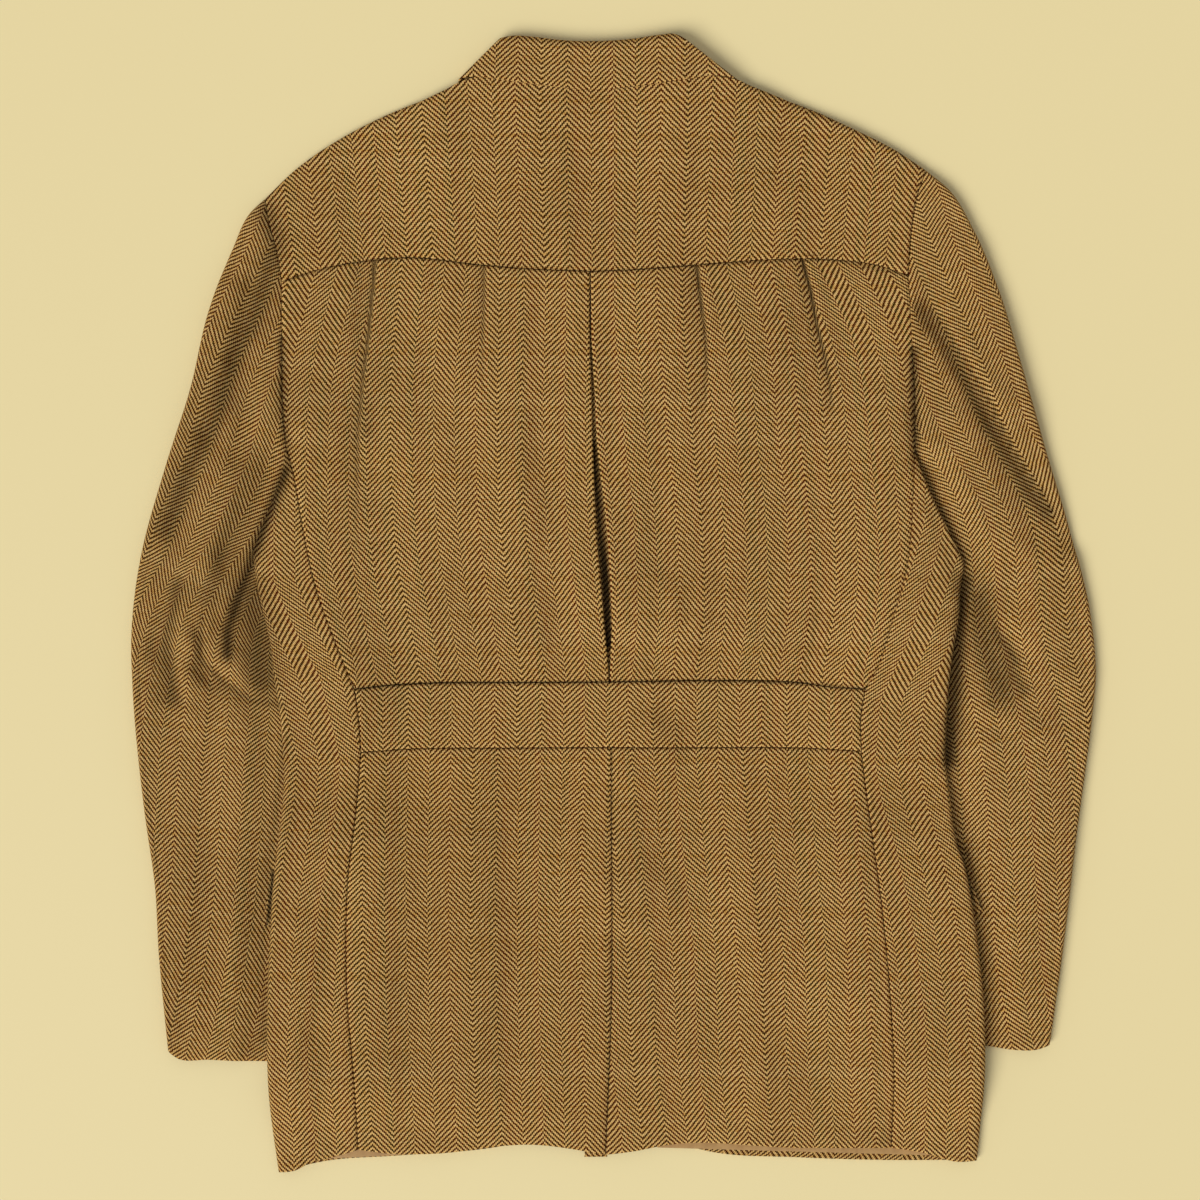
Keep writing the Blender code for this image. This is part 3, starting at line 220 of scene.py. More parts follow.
def lines_to(x, y, points, closed=False):
    """Distance from each place to a line of points, by the nearest place on each straight run."""
    points = np.asarray(points, float)
    ends = np.roll(points, -1, axis=0) if closed else points[1:]
    best = np.full(np.shape(x), 1e9)
    for a, b in zip(points, ends):
        d = b - a
        t = np.clip(((x - a[0]) * d[0] + (y - a[1]) * d[1]) / (d @ d), 0, 1)
        best = np.minimum(best, np.hypot(x - a[0] - t * d[0], y - a[1] - t * d[1]))
    return best


def cover(x, y, outline, margin, fall):
    """One over a closed outline and its margin, then a smooth step down to zero over the fall."""
    outline = np.asarray(outline, float)
    far = lines_to(x, y, outline, closed=True)
    inside = np.zeros(np.shape(x), bool)
    for a, b in zip(outline, np.roll(outline, -1, axis=0)):
        crosses = (a[1] > y) != (b[1] > y)
        inside ^= crosses & (x < a[0] + (y - a[1]) / (b[1] - a[1] or 1e-12) * (b[0] - a[0]))
    t = np.clip((np.where(inside, -far, far) - margin) / fall, 0, 1)
    return 1 - t * t * (3 - 2 * t)


def either(x, y, outlines, margin, fall):
    """The larger of the left and right covers."""
    return np.maximum(*[cover(x, y, outlines[side], margin, fall) for side in SIDES])


DEEPEST = 0.0045


def crease_height(x, y):
    """Sum of the creases: height times e to minus the square of distance over width.

    A crease pressed to one side is narrower there, and a tanh keeps any sum from going below DEEPEST.
    """
    height = np.zeros(np.shape(x))
    for x0, y0, x1, y1, width, size, right in CREASES:
        dx, dy = x1 - x0, y1 - y0
        long = np.hypot(dx, dy)
        t = np.clip(((x - x0) * dx + (y - y0) * dy) / long ** 2, 0, 1)
        off_x, off_y = x - x0 - t * dx, y - y0 - t * dy
        across = (off_x * dy - off_y * dx) / long
        wide = width * np.where(across > 0, min(right, 1.0), min(1.0, 1.0 / right))
        height = height + size * np.exp(-(off_x ** 2 + off_y ** 2) / wide ** 2)
    return np.where(height < 0, DEEPEST * np.tanh(height / DEEPEST), height)


# Painted shade, darkening the cloth's colour in folds that hold a shadow, along the yoke, belt and centre
# seams, and in the gaps at the pocket flaps: a line of points down each, its width and how much light it
# keeps off.
SHADES = [
    ([(-0.244, 0.2744), (-0.2377, 0.2506), (-0.2545, 0.1974), (-0.2677, 0.1715), (-0.2782, 0.1316),
      (-0.2971, 0.0952), (-0.3146, 0.0511)],
     0.0085, 0.5),
    ([(-0.2334, 0.1848), (-0.2321, 0.1344), (-0.2306, 0.1141), (-0.2286, 0.0959)], 0.0035, 0.55),
    ([(-0.2299, 0.0931), (-0.2537, 0.0329), (-0.2594, 0.0161), (-0.2712, -0.0189), (-0.2712, -0.0364)],
     0.005, 0.8),
    ([(-0.2566, 0.0091), (-0.2495, -0.0259), (-0.2467, -0.0539)], 0.0125, 0.52),
    ([(-0.2545, 0.1078), (-0.2733, 0.0399), (-0.2867, 0.0021)], 0.007, 0.3),
    ([(-0.3055, 0.0133), (-0.3154, -0.0294), (-0.309, -0.0658)], 0.006, 0.5),
    ([(-0.2888, -0.0077), (-0.2915, -0.0399), (-0.2733, -0.0567), (-0.2545, -0.0686), (-0.2341, -0.0714)],
     0.0028, 0.42),
    ([(0.2152, 0.2079), (0.2377, 0.1729), (0.2559, 0.1407), (0.2712, 0.1099), (0.302, 0.0637)], 0.006,
     0.45),
    ([(0.2215, 0.2065), (0.244, 0.1722), (0.2628, 0.1407), (0.2782, 0.1099), (0.3076, 0.0637)], 0.0014,
     0.55),
    ([(0.2097, 0.1771), (0.2097, 0.1456), (0.211, 0.1029)], 0.0035, 0.7),
    ([(0.2104, 0.1029), (0.2341, 0.0553), (0.2475, 0.0189), (0.2685, -0.021), (0.2818, -0.042)], 0.003,
     0.45),
    ([(0.246, 0.0161), (0.2419, -0.0259), (0.2377, -0.0791), (0.2349, -0.1099)], 0.0068, 0.78),
    ([(0.2545, 0.0021), (0.2601, -0.0329), (0.2698, -0.0609)], 0.012, 0.5),
    ([(0.2727, -0.0399), (0.2867, -0.0609)], 0.006, 0.4),
    ([(-0.2516, 0.2121), (-0.3076, 0.0301), (-0.3251, -0.1379), (-0.3146, -0.2779)], 0.035, 0.1),
    ([(-0.1795, 0.2331), (-0.1809, 0.1911), (-0.1739, 0.1211)], 0.006, 0.22),
    ([(-0.2306, -0.0959), (-0.2467, -0.2079), (-0.2467, -0.3059)], 0.004, 0.25),
    ([(-0.1817, -0.0603), (-0.1637, -0.0581), (-0.128, -0.056), (-0.0608, -0.0556), (0.064, -0.0543),
      (0.1298, -0.0558), (0.1754, -0.0601)],
     0.0012, 0.55),
    ([(-0.2334, 0.2254), (-0.1875, 0.238), (-0.1459, 0.2422), (-0.0914, 0.2366), (-0.0172, 0.2324),
      (0.0549, 0.2366), (0.1515, 0.2408), (0.2061, 0.2296)],
     0.001, 0.3),
    ([(-0.0018, -0.1011), (-0.0018, -0.1939), (-0.0021, -0.2779), (-0.004, -0.3339), (-0.0063, -0.3871)],
     0.001, 0.35),
    ([(-0.2393, -0.189), (-0.2412, -0.2058), (-0.2432, -0.2254)], 0.0017, 0.88),
    ([(0.2394, -0.1682), (0.2436, -0.1783), (0.2496, -0.1985), (0.2524, -0.2153)], 0.0012, 0.75),
    ([(0.2474, -0.1743), (0.2526, -0.1939), (0.2579, -0.2135)], 0.0012, 0.45),
]
PLEAT_EDGE = {
    "left": [(-0.0172, 0.2324), (-0.0172, 0.1841), (-0.0158, 0.1421), (-0.0151, 0.1141),
             (-0.0125, 0.0518), (-0.0106, 0.0266), (-0.0088, 0.0077), (-0.0069, -0.0172),
             (-0.0044, -0.042), (-0.004, -0.0553)],
    "right": [(-0.0167, 0.2324), (-0.0161, 0.1841), (-0.0137, 0.1421), (-0.0126, 0.1141),
              (-0.0069, 0.0644), (-0.0045, 0.0392), (-0.0025, 0.0021), (-0.0019, -0.0168),
              (-0.0028, -0.0357), (-0.0034, -0.0553)],
}


def painted_fold_light(x, y):
    """Painted shade, the share of light multiplied into the tweed's colour: one, less the strongest shade of
    any fold, tuck or the pleat.

    The shade of a fold is its strength times e to minus the square of distance over width, and between the
    two edges of the pleat it is nearly full.
    """
    dark = np.zeros(np.shape(x))
    for points, width, strength in SHADES:
        dark = np.maximum(dark, strength * np.exp(-(lines_to(x, y, points) / width) ** 2))
    # Painted shade in the groove of each tuck and beside it on the left.
    for places, heights, _, depth in TUCKS:
        off = x - at_height(y, places, heights)
        left = np.clip((y - heights[-1]) / (heights[0] - heights[-1]), 0, 1)
        left = np.sqrt(left) * (y < heights[0] + 0.001)
        strong = left * depth / TUCKS[-1][3]
        line = np.maximum(0.85 * np.exp(-(off / 0.0013) ** 2),
                          0.35 * np.exp(-((off + 0.0030) / 0.0045) ** 2))
        dark = np.maximum(dark, strong * line)
    # Painted shade in the open pleat: nearly black between its edges, lighter toward its right edge above
    # the gap.
    start, stop = [np.interp(-y, [-b for _, b in PLEAT_EDGE[side]], [a for a, _ in PLEAT_EDGE[side]])
                   for side in SIDES]
    t = (x - start) / np.maximum(stop - start, 0.0005)
    in_gap = (t > 0) & (t < 1) & (y < PLEAT_EDGE["left"][0][1]) & (y > PLEAT_EDGE["left"][-1][1])
    slope = 0.45 * np.clip((y - 0.030) / 0.020, 0, 1) * t ** 2
    return 1 - np.where(in_gap, 0.92 - slope, dark)


def rumple(x, y):
    """Slight unevenness of laid cloth: a few crossed sine waves of unlike lengths."""
    slow = np.sin(61 * x + 17 * y + 1.3) * np.sin(43 * y - 23 * x + 0.4)
    quick = np.sin(210 * x + 90 * y) * np.sin(160 * y - 130 * x + 2.1)
    fine = np.sin(430 * x - 260 * y + 0.7) * np.sin(390 * y + 210 * x)
    return 0.00065 * slow + 0.00026 * quick + 0.00007 * fine


TUCKED = {side: SLEEVE_UNDERARM[side][1:] + SLEEVE_INNER[side][1:]
          + [(SIDE_FOLD[side][0][0] * 1.12, SLEEVE_INNER[side][-1][1]),
             (SIDE_FOLD[side][0][0] * 1.12, SLEEVE_UNDERARM[side][1][1] + 0.030),
             (SLEEVE_UNDERARM[side][1][0], SLEEVE_UNDERARM[side][1][1] + 0.030)] for side in SIDES}
TURNED = {side: LAPEL[side]["edge"] + LAPEL[side]["roll"][::-1][:-1] + COLLAR_END[side]["fold"][::-1]
          + COLLAR_END[side]["edge"] for side in SIDES}
POCKET_WHOLE = {side: POCKET_FLAP[side][:2] + POCKET[side][2:] for side in SIDES}


def sleeve_lift(x, y):
    """Height of the coat's underside over a sleeve: the lift times a cover that falls off past it."""
    return SLEEVE_LIFT * either(x, y, TUCKED, 0.010, 0.050)


def front_face(x, y):
    """Underside of the fronts: on the floor, plus the lift over sleeves, pockets, lapels and buttons."""
    turned = np.maximum(either(x, y, TURNED, 0.006, 0.030),
                        cover(x, y, COLLAR_EDGE + COLLAR_FOLD[::-1], 0.010, 0.040))
    lift = LAPEL_LIFT * turned
    for button_x, button_y in BUTTONS:
        t = np.clip((np.hypot(x - button_x, y - button_y) - BUTTON_RADIUS - 0.004) / 0.020, 0, 1)
        lift = np.maximum(lift, BUTTON_LIFT * (1 - t * t * (3 - 2 * t)))
    return sleeve_lift(x, y) + POCKET_LIFT * either(x, y, POCKET_WHOLE, 0.006, 0.040) + lift


def back_face(x, y):
    """Upper side of the back: the underside plus the coat's depth, creases, tucks and unevenness."""
    calm = 1 - cover(x, y, COLLAR_EDGE + COLLAR_FOLD[::-1], 0.004, 0.02)
    return front_face(x, y) + BODY_DEPTH + (crease_height(x, y) + tuck_height(x, y) + rumple(x, y)) * calm


def along(points, fractions):
    """A cubic through each pair of points, with the slopes of their neighbours, read at chord fractions."""
    points = np.asarray(points, float)
    chords = np.linalg.norm(np.diff(points, axis=0), axis=1)
    reach = np.concatenate([[0], np.cumsum(chords)])
    slope = np.gradient(points, reach, axis=0) if len(points) > 2 else np.repeat(
        (points[1:] - points[:1]) / chords[0], 2, axis=0)
    want = np.atleast_1d(fractions) * reach[-1]
    k = np.clip(np.searchsorted(reach, want, side="right") - 1, 0, len(points) - 2)
    h = chords[k][:, None]
    t = ((want - reach[k]) / chords[k])[:, None]
    return (points[k] * (1 + 2 * t) * (1 - t) ** 2 + slope[k] * h * t * (1 - t) ** 2
            + points[k + 1] * t * t * (3 - 2 * t) + slope[k + 1] * h * t * t * (t - 1))


def run(*curves, count=240):
    """One dense line from curves whose ends meet, each with its share of the points by its own rows."""
    parts = [along(points, np.linspace(0, 1, round(rows * count) + 1)) for points, rows in curves]
    return np.concatenate([parts[0]] + [part[1:] for part in parts[1:]])


def patch(top, bottom, left, right):
    """Place function of (u, v) between four edges, u from left to right and v from top to bottom.

    A place is the blend of top and bottom, plus that of left and right, less that of the four corners.
    """
    def read(line, t):
        """Places along a dense line, straight between its points."""
        at = np.clip(t, 0, 1) * (len(line) - 1)
        return np.stack([np.interp(at, np.arange(len(line)), line[:, k]) for k in (0, 1)], axis=-1)

    top, bottom, left, right = (line if isinstance(line, np.ndarray) else run((line, 1))
                                for line in (top, bottom, left, right))

    def place(u, v):
        """The blended x and y at u and v."""
        u, v = np.broadcast_arrays(u, v)
        s, t = u[..., None], v[..., None]
        corner = ((1 - t) * ((1 - s) * top[0] + s * top[-1]) + t * ((1 - s) * bottom[0] + s * bottom[-1]))
        at = (1 - t) * read(top, u) + t * read(bottom, u)
        at = at + (1 - s) * read(left, v) + s * read(right, v) - corner
        return at[..., 0], at[..., 1]

    return place


def steps(count, length, first=True, last=True):
    """Shares from 0 to 1 with extra close steps at the ends, for the dip along a seam."""
    close = np.array([SEAM, 0.0006, 0.0011, 0.0019, 0.0030]) / length
    start = close[-1] if first else SEAM / length
    stop = 1 - (close[-1] if last else SEAM / length)
    inside = np.linspace(start, stop, count)
    return np.concatenate([close[:-1] if first else [], inside, 1 - close[-2::-1] if last else []])


def dip(far, depth=0.0014, width=0.0024):
    """Depth of the soft dip beside a seam: the square of one minus distance over width."""
    return depth * np.clip(1 - far / width, 0, 1) ** 2


def roll_in(angle, radius, inset):
    """Distance from the edge at an angle of its roll: the inset, plus the rest of the radius times one
    minus the cosine."""
    return inset + (radius - inset) * (1 - np.cos(np.radians(angle)))


def on_face(place, u, v, weight, side, inset, upper, lower):
    """Points on the upper (side 1) or lower (side -1) face: the middle of the two faces plus half the
    depth less the inset, times a weight that falls to zero at a rolled edge."""
    x, y = place(u, v)
    high, low = upper(x, y), lower(x, y)
    return np.stack([x, y, (high + low) / 2 + side * ((high - low) / 2 - inset) * weight], axis=-1)


def cloth(name, surface, outer, inner, weave, cells=None):
    """A closed thin wall between two point grids, where cells are true, with a rim round their edge.

    Its UV map, cloth, holds the place in the weave in metres, and a point attribute the share of light in
    its folds, which the tweed paints into its colour as shade.
    """
    rows, columns = outer.shape[:2]
    cells = np.ones((rows - 1, columns - 1), bool) if cells is None else cells
    number = np.arange(rows * columns).reshape(rows, columns)
    below = rows * columns
    i, j = np.nonzero(cells)
    a, b, c, d = number[i, j], number[i + 1, j], number[i + 1, j + 1], number[i, j + 1]
    faces = [np.stack([a, b, c, d], 1), np.stack([d, c, b, a], 1) + below]
    ring = np.pad(cells, 1)
    for open_side, p, q in ((~ring[1:-1, :-2], a, b), (~ring[2:, 1:-1], b, c),
                            (~ring[1:-1, 2:], c, d), (~ring[:-2, 1:-1], d, a)):
        edge = open_side[i, j]
        faces.append(np.stack([q[edge], p[edge], p[edge] + below, q[edge] + below], 1))
    faces = np.concatenate(faces)
    used, flat = np.unique(faces, return_inverse=True)
    flat = flat.reshape(-1, 4)
    points = np.concatenate([outer.reshape(-1, 3), inner.reshape(-1, 3)])[used]
    corner = points[flat]
    turned = np.cross(corner[:, 1], corner[:, 2]) + np.cross(corner[:, 2], corner[:, 3])
    volume = (corner[:, 0] * turned).sum()
    if volume < 0:
        flat = flat[:, ::-1]
    mesh = bpy.data.meshes.new(name)
    mesh.from_pydata(points.tolist(), [], flat.tolist())
    grid = np.concatenate([weave.reshape(-1, 2)] * 2)[used]
    mesh.uv_layers.new(name="cloth").data.foreach_set("uv", grid[flat.ravel()].astype(np.float32).ravel())
    light = mesh.attributes.new("painted_fold_light", "FLOAT", "POINT")
    light.data.foreach_set("value", painted_fold_light(points[:, 0], points[:, 1]).astype(np.float32))
    mesh.shade_smooth()
    mesh.set_sharp_from_angle(angle=np.radians(50))
    piece = bpy.data.objects.new(name, mesh)
    bpy.context.collection.objects.link(piece)
    mesh.materials.append(surface)
    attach(piece, "root")
    return piece


# The tweed: zigzag lines of gold and brown yarn. Every STRIPE the lines turn and step by half their
# pitch, as a herringbone does. Faint plaid lines cross it, flecks and a soft nap break it up, and the
# crowns of the raised yarns are painted lighter, a painted highlight.
STRIPE = 0.0156
PITCH = 0.0036
YARN = 0.0011
SLOPE = 0.98
BAND = 0.077
BAND_START = -0.0272
ROW_START = -0.0100
GOLD = (0.790, 0.560, 0.240)
OLD_GOLD = (0.520, 0.270, 0.055)
BROWN = (0.088, 0.013, 0.0002)
OLIVE = (0.040, 0.020, 0.0005)


def shader_group(name, inputs, outputs):
    """A shader node group, its input and output nodes, and the function that adds nodes to it."""
    group = bpy.data.node_groups.new(name, "ShaderNodeTree")
    for label, kind in inputs.items():
        group.interface.new_socket(label, in_out="INPUT", socket_type=kind)
    for label, kind in outputs.items():
        group.interface.new_socket(label, in_out="OUTPUT", socket_type=kind)
    source, result = group.nodes.new("NodeGroupInput"), group.nodes.new("NodeGroupOutput")
    return group, source, result, adder(group)


def adder(tree):
    """A function that adds a node to a tree: its sockets get values or links, in order or by name."""
    def add(kind, *values, out=0, **settings):
        """One node: capitalised settings are its inputs, the others its own properties."""
        node = tree.nodes.new("ShaderNode" + kind)
        named = {key: settings.pop(key) for key in list(settings) if key[0].isupper()}
        for key, value in settings.items():
            setattr(node, key, value)
        for key, value in list(enumerate(values)) + [(key.replace("_", " "), v) for key, v in named.items()]:
            if isinstance(value, bpy.types.NodeSocket):
                tree.links.new(value, node.inputs[key])
            elif value is not None:
                node.inputs[key].default_value = value
        return node.outputs[out]

    return add


def calc(add, operation, *values):
    """A math node on numbers or sockets."""
    return add("Math", *values, operation=operation)


def blend_color(add, share, low, high, kind="MIX"):
    """Mix of two colours, each a socket or three numbers."""
    low, high = (value if isinstance(value, bpy.types.NodeSocket) else (*value, 1) for value in (low, high))
    return add("Mix", share, None, None, None, None, None, low, high, out=2, data_type="RGBA",
               blend_type=kind)


def noise(add, place, scale, detail=2.0):
    """Soft noise from zero to one, with scale in waves for each metre."""
    return add("TexNoise", place, Scale=scale, Detail=detail, Roughness=0.55)


def faint_line(add, place, start, fall, strength):
    """One, less the strength on each plaid line: the lines are BAND apart and fade over the fall."""
    near = calc(add, "PINGPONG", calc(add, "SUBTRACT", place, start), BAND / 2)
    share = add("MapRange", near, 0.0, fall, 1.0, 0.0, interpolation_type="SMOOTHSTEP")
    return calc(add, "MULTIPLY_ADD", share, -strength, 1.0)


def new_material(name):
    """A material, the function that adds nodes to it, and its Principled shader."""
    material = bpy.data.materials.new(name)
    material.use_nodes = True
    return material, adder(material.node_tree), material.node_tree.nodes["Principled BSDF"]


group, source, result, add = shader_group("herringbone", {"Cloth": "NodeSocketVector"},
                                          {"Color": "NodeSocketColor", "Height": "NodeSocketFloat"})
cloth_place = source.outputs["Cloth"]
split = add("SeparateXYZ", cloth_place).node
across, up = split.outputs["X"], split.outputs["Y"]
sway = calc(add, "MULTIPLY_ADD", noise(add, cloth_place, 18.0), 0.0040, -0.0020)
jitter = calc(add, "MULTIPLY_ADD", noise(add, cloth_place, 260.0, 1.0), 0.0012, -0.0006)
end = calc(add, "FLOOR", calc(add, "DIVIDE", across, YARN))
stepped = calc(add, "MULTIPLY", calc(add, "ADD", end, 0.5), YARN)
rise = calc(add, "MULTIPLY", calc(add, "PINGPONG", stepped, STRIPE), SLOPE)
height = calc(add, "ADD", calc(add, "ADD", up, sway), calc(add, "ADD", rise, jitter))
phase = calc(add, "DIVIDE", height, PITCH)
stripe_number = calc(add, "FLOOR", calc(add, "ADD", calc(add, "DIVIDE", stepped, STRIPE), 100.0))
turned = calc(add, "MULTIPLY", calc(add, "MODULO", stripe_number, 2.0), 0.5)
phase = calc(add, "ADD", phase, turned)
wave = calc(add, "SINE", calc(add, "MULTIPLY", phase, 2 * np.pi))
fuzz = noise(add, cloth_place, 900.0, 2.0)
edge = calc(add, "ADD", wave, calc(add, "MULTIPLY_ADD", fuzz, 1.2, -0.50))
line_share = calc(add, "MULTIPLY_ADD", edge, 1.50, 0.22)
line_share.node.use_clamp = True
bead = calc(add, "COSINE", calc(add, "MULTIPLY", across, 2 * np.pi / YARN))
bead = calc(add, "MULTIPLY_ADD", bead, 0.5, 0.5)
per_end = add("TexWhiteNoise", W=end, noise_dimensions="1D")
pick = calc(add, "FLOOR", calc(add, "DIVIDE", up, YARN))
per_pick = add("TexWhiteNoise", W=pick, noise_dimensions="1D")
stain = noise(add, cloth_place, 420.0, 3.0)
old_share = calc(add, "MULTIPLY", stain, calc(add, "MULTIPLY_ADD", per_pick, 0.5, 1.0))
gold = blend_color(add, old_share, GOLD, OLD_GOLD)
brown = blend_color(add, per_end, BROWN, OLIVE)
weave = blend_color(add, line_share, brown, gold)
band = faint_line(add, across, BAND_START, 0.010, 0.06)
row = faint_line(add, up, ROW_START, 0.006, 0.02)
broad = calc(add, "MULTIPLY_ADD", noise(add, cloth_place, 9.0, 3.0), 0.34, 0.83)
# Tone of the cloth itself from the plaid lines and the broad noise; the painted yarn highlight is multiplied
# in below.
shade = calc(add, "MULTIPLY", calc(add, "MULTIPLY", band, row), broad)
# Painted highlight: the colour is lighter on the crowns of the raised yarns and darker between them.
painted_yarn_highlight = calc(add, "MULTIPLY", bead, line_share)
shade = calc(add, "MULTIPLY", shade, calc(add, "MULTIPLY_ADD", painted_yarn_highlight, 0.22, 0.88))
group.links.new(add("VectorMath", weave, None, None, shade, operation="SCALE"), result.inputs["Color"])
relief = calc(add, "MULTIPLY_ADD", line_share, 0.6, calc(add, "MULTIPLY", bead, 0.4))
group.links.new(relief, result.inputs["Height"])

tweed, add, shader = new_material("tweed")
woven = add("Group", node_tree=group).node
tweed.node_tree.links.new(add("UVMap", uv_map="cloth"), woven.inputs["Cloth"])
# Painted shade: the woven colour is multiplied by the share of light in the folds, so folds, tucks, seams,
# the pleat gap and the flap gaps are darker in colour.
light = add("Attribute", out=2, attribute_name="painted_fold_light")
shaded = add("VectorMath", woven.outputs["Color"], None, None, light, operation="SCALE")
tweed.node_tree.links.new(shaded, shader.inputs["Base Color"])
tweed.node_tree.links.new(add("Bump", Strength=0.6, Distance=0.0004, Height=woven.outputs["Height"]),
                          shader.inputs["Normal"])
shader.inputs["Roughness"].default_value = 0.85
shader.inputs["Specular IOR Level"].default_value = 0.04

bottom = run((YOKE_SEAM["left"], 0.5), (YOKE_SEAM["right"], 0.5))
line = run((SHOULDER["left"], 1 / 3), (NECK, 1 / 3), (SHOULDER["right"][::-1], 1 / 3))
share = (bottom[:, 0] - bottom[0, 0]) / (bottom[-1, 0] - bottom[0, 0])
top_x = line[0, 0] + share * (line[-1, 0] - line[0, 0])
top = np.stack([top_x, np.interp(top_x, line[:, 0], line[:, 1])], axis=-1)
place = patch(top, bottom, ARMHOLE_YOKE["left"], ARMHOLE_YOKE["right"])
u = steps(170, YOKE_WIDTH)
height = np.subtract(place(u, 0 * u)[1], place(u, 0 * u + 1)[1])
at_neck = np.clip((NECK_HALF - np.abs(place(u, 0 * u)[0] - NECK_MIDDLE)) / 0.004, 0, 1)
grids = []
for inset in (0.0, BACK_WALL):
    near = roll_in(TURN, BODY_ROLL, inset)[:, None] / height
    rest = steps(44, YOKE_HEIGHT, first=False)[1:, None]
    v = np.concatenate([near, near[-1:] + (1 - near[-1:]) * rest])
    rise = np.concatenate([np.sin(np.radians(TURN)), np.ones(len(rest))])[:, None]
    grid = on_face(place, u[None, :], v, rise + (1 - rise) * at_neck, 1, inset, back_face, front_face)
    grid[..., 2] -= dip(np.minimum((1 - v) * height, np.minimum(u, 1 - u) * YOKE_WIDTH))
    grids.append(grid)
x, y = grids[0][..., 0], grids[0][..., 1]
yoke = cloth("yoke_cloth", tweed, *grids, np.stack([(x + 0.0004) * (1.112 - 0.553 * y), 0.92 * y], axis=-1))
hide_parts("yoke")

# Upper back: one piece of tweed from the yoke seam to the belt seam. A deep inverted pleat runs down
# its centre and is held shut at the yoke and the belt, so it gapes between them. Four small tucks
# start at the yoke seam and fade out down the back.
ARMHOLE_BACK = {
    "left": [(-0.2334, 0.2254), (-0.2331, 0.1848), (-0.2327, 0.1491), (-0.2299, 0.1099)],
    "right": [(0.2061, 0.2296), (0.2087, 0.1841), (0.2107, 0.1456), (0.2107, 0.1071)],
}
WAIST_SEAM = {
    "left": [(-0.2299, 0.1099), (-0.2251, 0.0924), (-0.2173, 0.049), (-0.2082, 0.0084),
             (-0.1984, -0.0189), (-0.1908, -0.0385), (-0.1817, -0.0603)],
    "right": [(0.2107, 0.1071), (0.2097, 0.0886), (0.2087, 0.0672), (0.2054, 0.028), (0.1962, -0.0061),
              (0.1837, -0.0455), (0.1754, -0.0601)],
}
BELT_TOP = {
    "left": [(-0.1817, -0.0603), (-0.1637, -0.0581), (-0.128, -0.056), (-0.0608, -0.0556),
             (-0.0041, -0.0553)],
    "right": [(-0.0034, -0.0553), (0.064, -0.0543), (0.1298, -0.0558), (0.1515, -0.0588),
              (0.1754, -0.0601)],
}
PLEAT_DEPTH = 0.015
PLEAT_WALL = 0.0015
LAYER_GAP = 0.0003
BACK_LENGTH = 0.285
HALF_WIDTH = 0.2
BEND_POINTS = 11
FLOOR_POINTS = 12
HAND = {"left": 1, "right": -1}
STRIPE_TOP = {
    "left": ([-0.0333, -0.034, -0.0352, -0.0347, -0.034, -0.0319, -0.0284, -0.0249, -0.0214, -0.02],
             [0.23, 0.1841, 0.1421, 0.1001, 0.0721, 0.0441, 0.0161, -0.0119, -0.0399, -0.0511],
             [1.015, 1.015, 1.065]),
    "right": ([-0.0004, 0.0011, 0.0039, 0.006, 0.0088, 0.0123, 0.0144, 0.0158, 0.0165, 0.0137, 0.0123],
              [0.2121, 0.1841, 0.1561, 0.1281, 0.1001, 0.0721, 0.0441, 0.0161, -0.0119, -0.0399, -0.0511],
              [1.0, 1.01, 1.06]),
}

v = steps(118, BACK_LENGTH)[:, None]
halves = {}
for side in SIDES:
    edges = (run((ARMHOLE_BACK[side], 5 / 12), (WAIST_SEAM[side], 7 / 12)), PLEAT_EDGE[side])
    halves[side] = patch(YOKE_SEAM[side], BELT_TOP[side], *edges[::HAND[side]])
u = steps(130, HALF_WIDTH, last=False)[None, :-1]
parts = {side: halves[side](u if side == "left" else 1 - u[:, ::-1], v) for side in SIDES}
fold = {side: halves[side](np.array([[float(side == "left")]]), v) for side in SIDES}
bend = (PLEAT_WALL + LAYER_GAP) / 2
arc = np.radians(np.linspace(0, 180, BEND_POINTS))
reach = PLEAT_WALL / 2 + bend
across, drops = [], []
for centre, level, out, down in (
        (fold["left"][0] - reach, 0, 1, 1), (fold["left"][0] - PLEAT_DEPTH, 2, -1, 1),
        (fold["right"][0] + PLEAT_DEPTH, 4, 1, -1), (fold["right"][0] + reach, 2, -1, -1)):
    across.append(centre + out * bend * np.sin(arc))
    drops.append(np.broadcast_to(bend * (level + down * (1 - np.cos(arc))), across[-1].shape))
between = np.linspace(0, 1, FLOOR_POINTS + 2)[1:-1]
across.insert(2, across[1][:, -1:] + (across[2][:, :1] - across[1][:, -1:]) * between)
drops.insert(2, 4 * bend + 0.0006 * np.sin(np.pi * between) + np.zeros(across[2].shape))
across, drops = np.concatenate(across, axis=1), np.concatenate(drops, axis=1)
x = np.concatenate([parts["left"][0], across, parts["right"][0]], axis=1)
pleat_y = np.broadcast_to(fold["left"][1], across.shape)
y = np.concatenate([parts["left"][1], pleat_y, parts["right"][1]], axis=1)
drop = np.concatenate([np.zeros_like(parts["left"][0]), drops, np.zeros_like(parts["right"][0])], axis=1)
seam = np.minimum(np.minimum(v, 1 - v) * BACK_LENGTH, np.minimum(x - x[:, :1], x[:, -1:] - x))
line = np.stack([x, y, back_face(x, y) - PLEAT_WALL / 2 - drop - dip(seam)], axis=-1)
along_row = np.gradient(line[..., [0, 2]], axis=1)
along_row /= np.linalg.norm(along_row, axis=-1, keepdims=True)
normal = np.stack([-along_row[..., 1], np.zeros(x.shape), along_row[..., 0]], axis=-1) * PLEAT_WALL / 2
weave_u = {}
